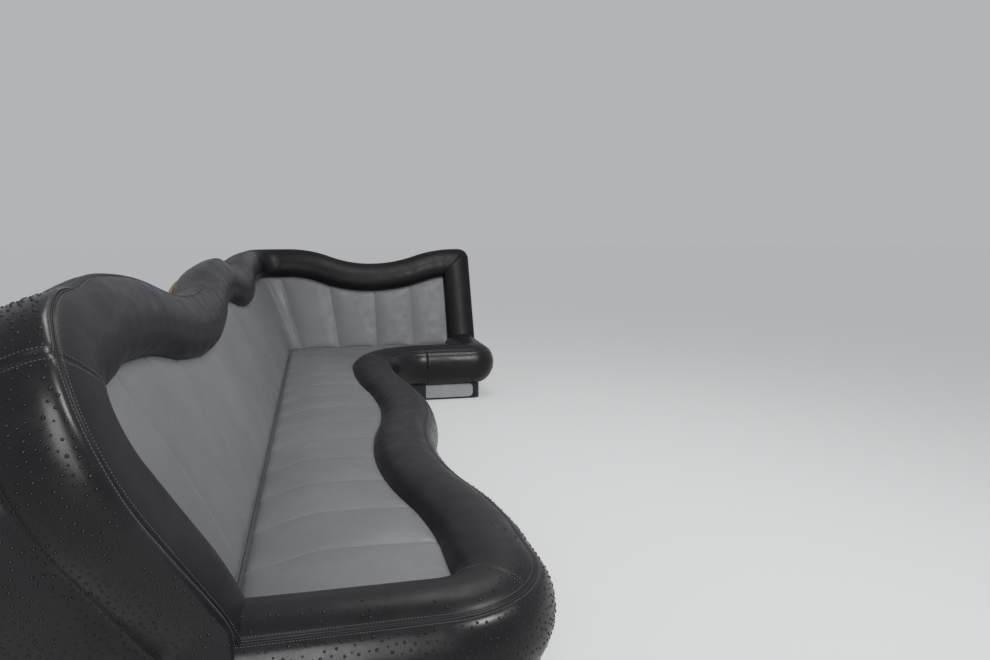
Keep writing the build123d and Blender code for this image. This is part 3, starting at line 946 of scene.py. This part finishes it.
def inflate(piece, look):
    # blows the pad up between its held points, then limits how far each point moved
    before = [vert.co.copy() for vert in piece.data.vertices]
    modifier = piece.modifiers.new("cloth", "CLOTH")
    settings = modifier.settings
    settings.use_pressure = True
    settings.uniform_pressure_force = look["pressure"]
    settings.vertex_group_mass = "held"
    settings.effector_weights.gravity = 0
    settings.mass = cloth["mass"]
    settings.tension_stiffness = settings.compression_stiffness = cloth["stretch"]
    settings.bending_stiffness = cloth["bending"]
    modifier.point_cache.frame_start = 1
    modifier.point_cache.frame_end = cloth["frames"]
    scene = bpy.context.scene
    for number in range(1, cloth["frames"] + 1):
        scene.frame_set(number)
    shown = piece.evaluated_get(bpy.context.evaluated_depsgraph_get())
    moved = [vert.co.copy() for vert in shown.data.vertices]
    piece.modifiers.remove(modifier)
    scene.frame_set(1)
    cap = look["cap"]
    for vert, start, end in zip(piece.data.vertices, before, moved):
        step = end - start
        reach = step.length
        if reach > 1e-7:
            vert.co = start + step * (cap * tanh(reach / cap) / reach)


def makePad(name, look, rows, axes, shape, move, nodes):
    # one sheet of leather, held beside its seams and edges and blown up between them;
    # one axis is the whole width of the pad, 1000 units of the section
    bm = bmesh.new()
    rings = sweepInto(bm, [Row(columns(*axes(row), row[0]), row[-2]) for row in rows], shape)
    bm.verts.index_update()
    total, end = rows[-1][-2], padHold["end"]
    first, last = look["shows"]
    held = []
    for ring, row in zip(rings, rows):
        distance, seam = row[-2:]
        pinned = seam < padHold["seam"] or distance < end or distance > total - end
        groove = look["groove"] * exp(-((seam / grooveWidth) ** 2))
        for number, vert in enumerate(ring):  # only the points that show take the groove
            shows = first <= number <= look["across"] + last
            if pinned or not shows:
                held.append(vert.index)
            move(vert, row, number, groove if shows else None)
    piece = makePiece(name, bm, materials["greyLeather"], nodes, smooth=False)
    piece.vertex_groups.new(name="held").add(held, 1.0, "REPLACE")
    inflate(piece, look)
    addSmooth(piece)


def seatShape(row):
    across, crease, front, low = (seatPad[key] for key in ("across", "crease", "front", "low"))
    inward = -seatPad["under"] / row.matrix.col[0].length
    section = [(inward, low * 1000), (inward, crease * 1000 - 16)]
    for n in range(across + 1):
        t = share(n, across)
        rise = crease + (front - crease) * smoothStep(t, 0, 0.45)
        rise += seatPad["crown"] * sin(pi * min(1, t * 1.02)) ** 0.8 * 0.6
        frontDrop = seatPad["frontDrop"] * (1 - smoothStep(1 - t, 0.0, 0.03))
        rise -= frontDrop + seatPad["creaseDrop"] * (1 - smoothStep(t, 0.0, 0.024))
        section.append((1000 * t, rise * 1000))
    return section + [(1000, front * 1000 - 14), (1000, low * 1000)]


def seatMove(vert, row, number, groove):
    across = seatPad["across"]
    if groove is not None:
        vert.co += seatBend(share(number - 2, across), row[2])
        vert.co.z -= groove * smoothStep(number, 1, 3) * smoothStep(across + 2 - number, 0, 3)


def seatAxes(row):
    return row[1] - row[0], upZ, upY


seatNodes = ["side_seat_pad", "corner_seat_pad", "rear_seat_pad"]
makePad("greySeat", seatPad, seatPadRows(), seatAxes, seatShape, seatMove, seatNodes)
print("grey seat made")

backPad = {
    "spacing": 0.016,
    "across": 26,
    "shows": (6, 3),
    "crown": 0.010,
    "cap": 0.009,
    "pressure": 4.0,
    "groove": 0.0040,
    "slantRun": 0.38,
    "cornerArc": 0.12,  # how much longer the corner is than its fillet at the foot
    "cornerRows": 16,
    "cornerSeam": 0.2,
    "footDrop": 0.012,
    "topDrop": 0.006,
    "foot": [(-70, -24), (-24, -46), (-13, -28)],
    "nearRun": 0.6,  # the near edge's curve fades out over this distance
}


def cornerSlant(distance):
    # near the corner the channels lean out to meet the wider turn of the roll above
    reach = fillet + bench["rollCorner"]
    return reach * (1 - smoothStep(distance, 0.0, backPad["slantRun"]))


def onFace(ground, u, v=0.0):
    return ground.origin + ground.uDir * u + ground.vDir * v


def backPadRows():
    # foot on the crease, top on the lower edge of the roll
    rows = []
    endU = creaseRun - fillet
    nearTop = nearEdge + rollHeight - padTuck
    marks = channelMarks(padStart, endU)[0]
    rising = [p for p in crossLines(sideTopLegs, padTuck - rollHeight) if p[1] > nearRise - 0.001]
    for u in spread(padStart, endU, backPad["spacing"], marks):
        t = (u - padStart) / (endU - padStart)
        topU = nearTop + (endU - nearTop) * t + cornerSlant(endU - u)
        top = onFace(sideFace, topU, readLine(rising, topU + nudge))
        rows.append((onFace(sideFace, u), top, sideFace.normal, u - padStart, nearestMark(u, marks)))
    base = endU - padStart
    axis = Vector((creaseX + fillet, creaseY - fillet, bench["creaseHeight"]))
    arc = fillet * pi / 2 + backPad["cornerArc"]
    steps = backPad["cornerRows"]
    for n in range(1, steps + 1):
        turn = pi / 2 * n / steps
        foot = axis - turnedOut(turn) * fillet
        top = cornerMatrix(turn) @ Vector((0, padTuck - rollHeight, 0))
        seam = (1 - n / steps) * backPad["cornerSeam"]
        rows.append((foot, top, leanOut(turn), base + arc * n / steps, seam))
    base += arc
    rearStart, rearEnd = -rearRun + fillet, padTuck - rollHeight
    marks = channelMarks(rearStart, rearEnd, 0)[0]
    rearLine = crossLines(rearTopLegs, padTuck - rollHeight)
    for u in spread(rearStart, rearEnd, backPad["spacing"], marks)[1:]:
        topU = u - cornerSlant(u - rearStart)
        top = onFace(rearFace, topU, readLine(rearLine, topU))
        rows.append((onFace(rearFace, u), top, rearFace.normal, base + u - rearStart, nearestMark(u, marks)))
    return rows


nearLine = [(v, u) for u, v in crossLines(sideTopLegs[:6], padTuck - rollHeight, 0.01)]
nearTopV = nearRise + 0.001


def nearBend(t, distance):
    # how far the near edge's curve stands off the straight line from foot to top
    foot, top = footU + rollHeight - padTuck, nearEdge + rollHeight - padTuck
    curve = readLine(nearLine, t * nearTopV) - (foot + (top - foot) * t)
    return curve * (1 - smoothStep(distance, 0.0, backPad["nearRun"]))


def backPadShape(row):
    size = row.matrix.col[1].length
    section = [(-88, 2)] + [(x, y / size) for x, y in backPad["foot"]]
    for n in range(backPad["across"] + 1):
        t = share(n, backPad["across"])
        edge = smoothStep(t, -0.004, 0.026) * smoothStep(1 - t, 0.0, 0.05)
        drop = backPad["footDrop"] if t < 0.5 else backPad["topDrop"]
        proud = backPad["crown"] * 0.5 * sin(pi * t) - drop * (1 - edge)
        section.append((proud * 1000, 1000 * t))
    return section + [(-14, 998), (-88, 998)]


def backMove(vert, row, number, groove):
    across = backPad["across"]
    vert.co.y += nearBend(share(number - 4, across), row[3])
    if groove is not None:
        vert.co -= row[2] * groove * smoothStep(across + 4 - number, 0, 3)


def backAxes(row):
    return row[2], row[1] - row[0], upY


backNodes = ["side_back_pad", "corner_back_pad", "rear_back_pad"]
makePad("greyBack", backPad, backPadRows(), backAxes, backPadShape, backMove, backNodes)
print("grey back made")

# Welts: two small ridges side by side over each outer seam, a row of stitches outside each

welt = {
    "profile": [
        (-5.4, -2.2), (-4.8, 0.4), (-3.2, 1.9), (-1.2, 1.5), (0, 0.1), (1.2, 1.5), (3.2, 1.9), (4.8, 0.4),
        (5.4, -2.2), (0, -3.5),
    ],
    "spacing": 0.010,
    "aside": 7.2,  # from the seam to each row of stitches
    "pitch": 0.0050,
}


def backWeltPlace(row):
    t = overTop(row.along)
    return [blend(a, b, t) for a, b in zip(backRoll["weltUpright"], backRoll["weltTop"])]


def aside(place, a, b=0.0):
    x, y, nx, ny = place
    return x + a * ny + b * nx, y - a * nx + b * ny


def backRows(distances):
    # one line from the near foot, round the corner and down the right end
    rows = []
    for d in distances:
        if d <= sideTopTotal:
            rows += pathRows(sideFace, sideTopLegs, [d])
        elif d <= sideTopTotal + cornerTotal:
            rows.append(Row(cornerMatrix((d - sideTopTotal) / cornerRadius), d))
        else:
            shift = sideTopTotal + cornerTotal
            rows += pathRows(rearFace, rearTopLegs, [d - shift], fan=backFan, shift=shift)
    return rows


def seatRows(distances):
    rows = []
    for d in distances:
        if d <= sideTotal:
            rows += pathRows(plan, sideLegs, [d])
        else:
            rows += pathRows(plan, rearLegs, [d - sideTotal], fan=seatFan, shift=sideTotal)
    return rows


backTotal = sideTopTotal + cornerTotal + rearTopTotal
seatTotal = sideTotal + rearTotal
stitchPoints = {"black": [], "grey": []}  # place, tangent and normal of each stitch


def surfaces(names):
    graph = bpy.context.evaluated_depsgraph_get()
    return [BVHTree.FromObject(bpy.data.objects[name], graph) for name in names]


def stitchAlong(colour, trees, places, limit=0.012):
    # a stitch between each two places, on the nearest of the surfaces
    for before, after in zip(places, places[1:]):
        found = [tree.find_nearest((before + after) / 2, limit) for tree in trees]
        found = [spot for spot in found if spot[0]]
        if found:
            place, normal = min(found, key=lambda spot: spot[3])[:2]
            stitchPoints[colour].append((place, (after - before).normalized(), normal))


def makeWelt(name, rowsAt, place, start, end, hosts):
    bm = bmesh.new()
    rows = rowsAt(spread(start, end, welt["spacing"]))
    sweepInto(bm, rows, lambda row: [aside(place(row), a, b) for a, b in welt["profile"]])
    makePiece(name, bm, materials["blackLeather"])
    trees = surfaces(hosts)
    count = round((end - start) / welt["pitch"])
    rows = rowsAt([start + (end - start) * n / count for n in range(count + 1)])
    for side in (-1, 1):
        places = [onRow(row, *aside(place(row), side * welt["aside"], 1.0)) for row in rows]
        stitchAlong("black", trees, places)


backHosts = ["nearUprightRoll", "sideBackRoll", "rearBackRoll", "endUprightRoll", "nearEndPanel"]
seatHosts = ["sideSeatRoll", "rearSeatRoll", "sideApron", "rearApron"]
backWeltRun = (0.005, backTotal - 0.045)
seatWeltRun = (-0.05, seatTotal + 0.02)
makeWelt("backWelt", backRows, backWeltPlace, *backWeltRun, backHosts)
makeWelt("seatWelt", seatRows, lambda row: seatRoll["welt"], *seatWeltRun, seatHosts)
print("welts made")


def stitchAcross(hosts, rowsAt, distance, gap, shape, first, last):
    # two rows of stitches beside a seam that crosses a roll or a panel
    trees = surfaces(hosts)
    for side in (-1, 1):
        row = rowsAt([distance + side * gap])[0]
        corners = [onRow(row, x, y) for x, y in shape(row)[first:last]]
        lengths = [0.0]
        for a, b in zip(corners, corners[1:]):
            lengths.append(lengths[-1] + (b - a).length)
        count = round(lengths[-1] / welt["pitch"])
        places = []
        for n in range(count + 1):
            d = lengths[-1] * n / count
            k = max(i for i, reach in enumerate(lengths[:-1]) if reach <= d)
            places.append(corners[k].lerp(corners[k + 1], (d - lengths[k]) / (lengths[k + 1] - lengths[k])))
        stitchAlong("black", trees, places)


# hosts, rows, distance, gap to each row of stitches, section, first and last of its points
crossSeams = [
    (["nearEndPanel"], backRows, radialSeam, 0.008, panelShape, 2, 14),
    (["nearUprightRoll", "sideBackRoll"], backRows, radialSeam, 0.007, backShape, 6, 13),
    (["sideSeatRoll"], seatRows, seatRoll["cornerSeam"], 0.006, fixedShape(seatRoll["section"]), 2, 9),
]
for seam in crossSeams:
    stitchAcross(*seam)


padStitch = {"pitch": 0.0065, "first": 0.02, "reach": 0.96, "lift": 0.004}


def stitchPad(host, wanted, bend=None):
    # one faint row down the middle of each channel seam
    trees = surfaces([host])
    for foot, front, distance in wanted:
        count = round((front - foot).length / padStitch["pitch"])
        shares = [padStitch["first"] + padStitch["reach"] * n / count for n in range(count + 1)]
        places = [foot.lerp(front, t) + (bend(t, distance) if bend else Vector()) for t in shares]
        stitchAlong("grey", trees, places)


def padSeams(rows):
    return [(row[0], row[1], row[-2]) for row in rows if row[-1] < 0.0005]


seatLift = Vector((0, 0, (seatPad["crease"] + seatPad["front"]) / 2 + padStitch["lift"]))
stitchPad("greySeat", [(a + seatLift, b + seatLift, d) for a, b, d in padSeams(seatPadRows())], seatBend)
stitchPad("greyBack", padSeams(backPadRows()))


def newGeometryGroup(name):
    group = bpy.data.node_groups.new(name + "Nodes", "GeometryNodeTree")
    for way in ("INPUT", "OUTPUT"):
        group.interface.new_socket("Geometry", in_out=way, socket_type="NodeSocketGeometry")
    return group, group.nodes.new("NodeGroupInput"), group.nodes.new("NodeGroupOutput")


ballRings = 4


def addInstances(group, start, outName, leave, size, segments):
    # a small flattened ball on each point
    ball = addNode(group, "GeometryNodeMeshUVSphere", {"Segments": segments, "Rings": ballRings, "Radius": 1.0})
    shaped = addNode(group, "GeometryNodeTransform", {"Scale": size})
    put = addNode(group, "GeometryNodeInstanceOnPoints")
    real = addNode(group, "GeometryNodeRealizeInstances")
    smooth = addNode(group, "GeometryNodeSetShadeSmooth")
    wire(
        group,
        (ball, "Mesh", shaped, "Geometry"), (shaped, "Geometry", put, "Instance"), (start, outName, put, "Points"),
        (put, "Instances", real, "Geometry"), (real, "Geometry", smooth, "Geometry"), (smooth, "Geometry", leave, 0),
    )
    return put


def settle(piece, group, material):
    # runs the nodes once and keeps the mesh they make
    nodes = piece.modifiers.new("nodes", "NODES")
    nodes.node_group = group
    graph = bpy.context.evaluated_depsgraph_get()
    made = bpy.data.meshes.new_from_object(piece.evaluated_get(graph))
    piece.modifiers.clear()
    piece.data = made
    made.materials.clear()
    made.materials.append(material)
    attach(piece, "root")


def placeStitches(name, points, size, material):
    # one stitch on each point, turned by "turn" and partly sunk in the leather
    bm = bmesh.new()
    turnLayer = bm.verts.layers.float_vector.new("turn")
    for place, tangent, normal in points:
        side = normal.cross(tangent).normalized()
        ahead = side.cross(normal).normalized()
        vert = bm.verts.new(place + normal * size[2] * stitchRise)
        vert[turnLayer] = columns(ahead, side, normal, Vector()).to_euler()
    piece = addObject(name, bm)
    group, entry, leave = newGeometryGroup(name)
    turn = addNode(group, "GeometryNodeInputNamedAttribute", {"Name": "turn"}, data_type="FLOAT_VECTOR")
    wire(group, (turn, "Attribute", addInstances(group, entry, 0, leave, size, stitchSides), "Rotation"))
    settle(piece, group, material)


stitchSides = 6
stitchRise = 0.25  # share of its thickness that a stitch's middle stands off the leather
threadSizes = {"black": (0.0018, 0.00070, 0.00070), "grey": (0.0026, 0.00080, 0.00055)}
for colour, size in threadSizes.items():
    thread = materials[colour + "Thread"]
    placeStitches(colour + "Stitches", stitchPoints[colour], size, thread)
print("stitches placed:", len(stitchPoints["black"]), len(stitchPoints["grey"]))

# Quills: small raised dots in the leather, thick at the near end and thinner along the side

quill = {
    "size": (0.0026, 0.0026, 0.0017),
    "sides": 7,
    "apart": 0.0108,
    "density": 40000.0,
    "seed": 4,
    "small": 0.65,
    "large": 1.15,
    "panel": (0.02, 0.022),  # clear of the wall and the floor, then of the welt
    "apron": (0.10, 0.014),  # height of its lower edge, then clear of the welt
    "apronAlong": (0.88, 0.55, 1.7),  # how much fades out, from where to where
    "apronDown": (0.6, 0.09, 0.15),
    "rearShare": 0.06,
    "rollAlong": (0.40, 1.1),
    "rollAcross": (0.195, 0.245),
    "rollBand": (0.15, 0.252),
    "rollShare": 0.5,
}


def fadeOut(value, amount, start, end):
    return 1 - amount * smoothStep(value, start, end)


def quillShare(name, place, along, across):
    if name == "nearEndPanel":
        clear, edge = quill["panel"]
        return 1.0 if place.x > wallX + clear and place.z > clear and across > edge else 0.0
    foot, edge = quill["apron"]
    if name == "sideApron":
        kept = place.z > foot and across > edge
        return fadeOut(along, *quill["apronAlong"]) * fadeOut(across, *quill["apronDown"]) if kept else 0.0
    if name == "rearApron":
        return quill["rearShare"] if place.z > foot else 0.0
    low, high = quill["rollBand"]
    fade = fadeOut(along, 1, *quill["rollAlong"])
    return quill["rollShare"] * fade * smoothStep(across, *quill["rollAcross"]) if low < across < high else 0.0


def makeQuills(hosts):
    graph = bpy.context.evaluated_depsgraph_get()
    bm = bmesh.new()
    for name in hosts:
        mesh = bpy.data.meshes.new_from_object(bpy.data.objects[name].evaluated_get(graph))
        wanted = mesh.attributes.new("quill", "FLOAT", "POINT").data
        along, across = mesh.attributes["along"].data, mesh.attributes["across"].data
        for number, vert in enumerate(mesh.vertices):
            wanted[number].value = quillShare(name, vert.co, along[number].value, across[number].value)
        bm.from_mesh(mesh)
        bpy.data.meshes.remove(mesh)
    piece = addObject("quills", bm)
    group, entry, leave = newGeometryGroup("quills")
    points = addNode(
        group,
        "GeometryNodeDistributePointsOnFaces",
        {"Distance Min": quill["apart"], "Density Max": quill["density"], "Seed": quill["seed"]},
        distribute_method="POISSON",
    )
    amount = addNode(group, "GeometryNodeInputNamedAttribute", {"Name": "quill"}, data_type="FLOAT")
    sizes = {2: quill["small"], 3: quill["large"]}
    grow = addNode(group, "FunctionNodeRandomValue", sizes, data_type="FLOAT")
    put = addInstances(group, points, "Points", leave, quill["size"], quill["sides"])
    wire(
        group,
        (entry, 0, points, "Mesh"), (amount, "Attribute", points, "Density Factor"),
        (points, "Rotation", put, "Rotation"), (grow, 1, put, "Scale"),
    )
    settle(piece, group, materials["quillLeather"])
    print("quills:", len(piece.data.polygons) // (quill["sides"] * ballRings))


makeQuills(["nearEndPanel", "sideApron", "rearApron", "sideSeatRoll"])

# Finishes of the plywood, boards, strip and brackets that show from behind and below

def makeLayers():
    # plies: thin glue lines and changing tones through the thickness, with long wood grain
    group, entry, leave = newGroup("plyLayers", {"Depth": 0.0, "Ply": 0.0026}, ["Ply", "Grain", "Glue"])
    place = addNode(group, "ShaderNodeTexCoord")
    stretch = addNode(group, "ShaderNodeMapping", {"Scale": (3.0, 3.0, 60.0)})
    wood = addNode(group, "ShaderNodeTexNoise", {"Scale": 3.0, "Detail": 8.0, "Distortion": 0.8})
    layers = addMath(group, "DIVIDE")
    whole = addMath(group, "FLOOR")
    tone = addNode(group, "ShaderNodeTexWhiteNoise", noise_dimensions="1D")
    part = addMath(group, "FRACT")
    glue = addMath(group, "LESS_THAN", {1: 0.14})
    wire(
        group,
        (place, "Object", stretch, "Vector"), (stretch, "Vector", wood, "Vector"),
        (entry, "Depth", layers, 0), (entry, "Ply", layers, 1), (layers, 0, whole, 0), (layers, 0, part, 0),
        (whole, 0, tone, "W"), (part, 0, glue, 0),
        (tone, "Value", leave, "Ply"), (wood, "Fac", leave, "Grain"), (glue, 0, leave, "Glue"),
    )
    return group


layerGroup = makeLayers()
plyLook = {
    "light": (0.56, 0.40, 0.24), "dark": (0.36, 0.23, 0.12), "glue": (0.20, 0.12, 0.06),
    "plyShare": 0.35, "shift": 0.0007,
    "smooth": 0.55, "rough": 0.75, "bump": 0.15, "bumpDepth": 0.0005,
}
zincLook = {"dark": (0.42, 0.43, 0.45), "light": (0.66, 0.67, 0.68), "smooth": 0.28, "rough": 0.5}


def makePlywood(name, axis, turn=(0, 0, 0)):
    material, tree, shader = newMaterial(name)
    place = addNode(tree, "ShaderNodeTexCoord")
    turned = addNode(tree, "ShaderNodeMapping", {"Rotation": turn, "Location": (plyLook["shift"],) * 3})
    parts = addNode(tree, "ShaderNodeSeparateXYZ")
    layers = addNode(tree, "ShaderNodeGroup", node_tree=layerGroup)
    tint = addMath(tree, "MULTIPLY_ADD", {1: plyLook["plyShare"]})
    wood = mixColours(tree, A=plyLook["light"], B=plyLook["dark"])
    glued = mixColours(tree, B=plyLook["glue"])
    wire(
        tree,
        (place, "Object", turned, "Vector"), (turned, "Vector", parts, "Vector"), (parts, axis, layers, "Depth"),
        (layers, "Ply", tint, 0), (layers, "Grain", tint, 2), (tint, 0, wood, "Factor"),
        (wood, "Result", glued, "A"), (layers, "Glue", glued, "Factor"),
    )
    finishSurface(tree, shader, plyLook, (glued, "Result"), (layers, "Grain"), (layers, "Grain"))
    return material


def makeZinc():
    material, tree, shader = newMaterial("zincSteel")
    shader.inputs["Metallic"].default_value = 1.0
    place = addNode(tree, "ShaderNodeTexCoord")
    spangle = addNode(tree, "ShaderNodeTexVoronoi", {"Scale": 160.0})
    tones = mixColours(tree, A=zincLook["dark"], B=zincLook["light"])
    parts = addNode(tree, "ShaderNodeSeparateColor")
    wire(tree, (place, "Object", spangle, "Vector"), (spangle, "Color", parts, "Color"))
    wire(tree, (parts, "Red", tones, "Factor"))
    finishSurface(tree, shader, zincLook, (tones, "Result"), (parts, "Green"))
    return material


plyTurns = {
    "plyFlat": ("Z",), "plyAcrossX": ("X",), "plyAcrossY": ("Y",),
    "plySideBoard": ("X", (0, lean, 0)), "plyRearBoard": ("Y", (lean, 0, 0)),
}
for name, turns in plyTurns.items():
    materials[name] = makePlywood(name, *turns)
materials["zincSteel"] = makeZinc()
finishes = {
    "deck": "plyFlat", "side_back_board": "plySideBoard", "rear_back_board": "plyRearBoard",
    "side_base_rib": "plyAcrossY", "side_back_rib": "plyAcrossY",
    "rear_base_rib": "plyAcrossX", "rear_back_rib": "plyAcrossX",
    "kick_board": "blackVinyl", "kick_strip": "stripPlastic", "bracket": "zincSteel",
}
for nodeName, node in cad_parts.items():
    finish = next((finishes[part] for part in finishes if part in nodeName), None)
    if finish:
        for place in node.material_slots:
            place.material = materials[finish]
print("finishes set")

# Floor and light

def seenRays(tree):
    # 1 for what the camera, a reflection or a view through glass sees, 0 for light on the object
    path = addNode(tree, "ShaderNodeLightPath")
    direct, total = addMath(tree, "MAXIMUM"), addMath(tree, "MAXIMUM")
    wire(
        tree,
        (path, "Is Camera Ray", direct, 0), (path, "Is Glossy Ray", direct, 1),
        (direct, 0, total, 0), (path, "Is Transmission Ray", total, 1),
    )
    return total


def makeStage():
    stage = {
        "size": 80.0, "colour": (0.26, 0.26, 0.26, 1), "glow": (0.80, 0.81, 0.82, 1), "glowStrength": 0.46,
        "backdrop": (0.45, 0.46, 0.47, 1), "ambient": 0.35,
    }
    bm = bmesh.new()
    bmesh.ops.create_grid(bm, x_segments=1, y_segments=1, size=stage["size"] / 2)
    floor = addObject("floor", bm)
    material, tree, shader = newMaterial("floorPaint")
    setInputs(shader, {"Base Color": stage["colour"], "Roughness": 0.9, "Emission Color": stage["glow"]})
    shine = addMath(tree, "MULTIPLY", {1: stage["glowStrength"]})
    wire(tree, (seenRays(tree), 0, shine, 0), (shine, 0, shader, "Emission Strength"))
    floor.data.materials.append(material)
    world = bpy.data.worlds.new("studio")
    world.use_nodes = True
    bpy.context.scene.world = world
    tree = world.node_tree
    back = setInputs(tree.nodes["Background"], {"Color": stage["backdrop"], "Strength": stage["ambient"]})
    seen = addNode(tree, "ShaderNodeBackground", {"Color": stage["backdrop"], "Strength": 1.0})
    either = addNode(tree, "ShaderNodeMixShader")
    wire(
        tree,
        (seenRays(tree), 0, either, "Fac"), (back, 0, either, 1), (seen, 0, either, 2),
        (either, 0, tree.nodes["World Output"], "Surface"),
    )


def makeLamps():
    lamps = {
        "key": {"place": (1.5, -2.3, 2.3), "aim": (-0.1, 0.3, 0.4), "size": 0.9, "watts": 56},
        "fill": {"place": (-0.35, -3.1, 1.0), "aim": (-0.5, -1.8, 0.45), "size": 0.6, "height": 1.2, "watts": 19},
        "top": {"place": (0.7, 0.1, 2.7), "aim": (-0.1, 0.5, 0.3), "size": 1.2, "watts": 32},
    }
    for name, lamp in lamps.items():
        light = bpy.data.lights.new(name, "AREA")
        light.energy = lamp["watts"]
        light.shape = "RECTANGLE"
        light.size = lamp["size"]
        light.size_y = lamp.get("height", lamp["size"])
        thing = addThing(name, light)
        thing.location = lamp["place"]
        aim = Vector(lamp["aim"]) - Vector(lamp["place"])
        thing.rotation_euler = aim.to_track_quat("-Z", "Y").to_euler()


makeStage()
makeLamps()
bpy.context.scene.view_settings.view_transform = "Standard"
print("stage and lamps set")
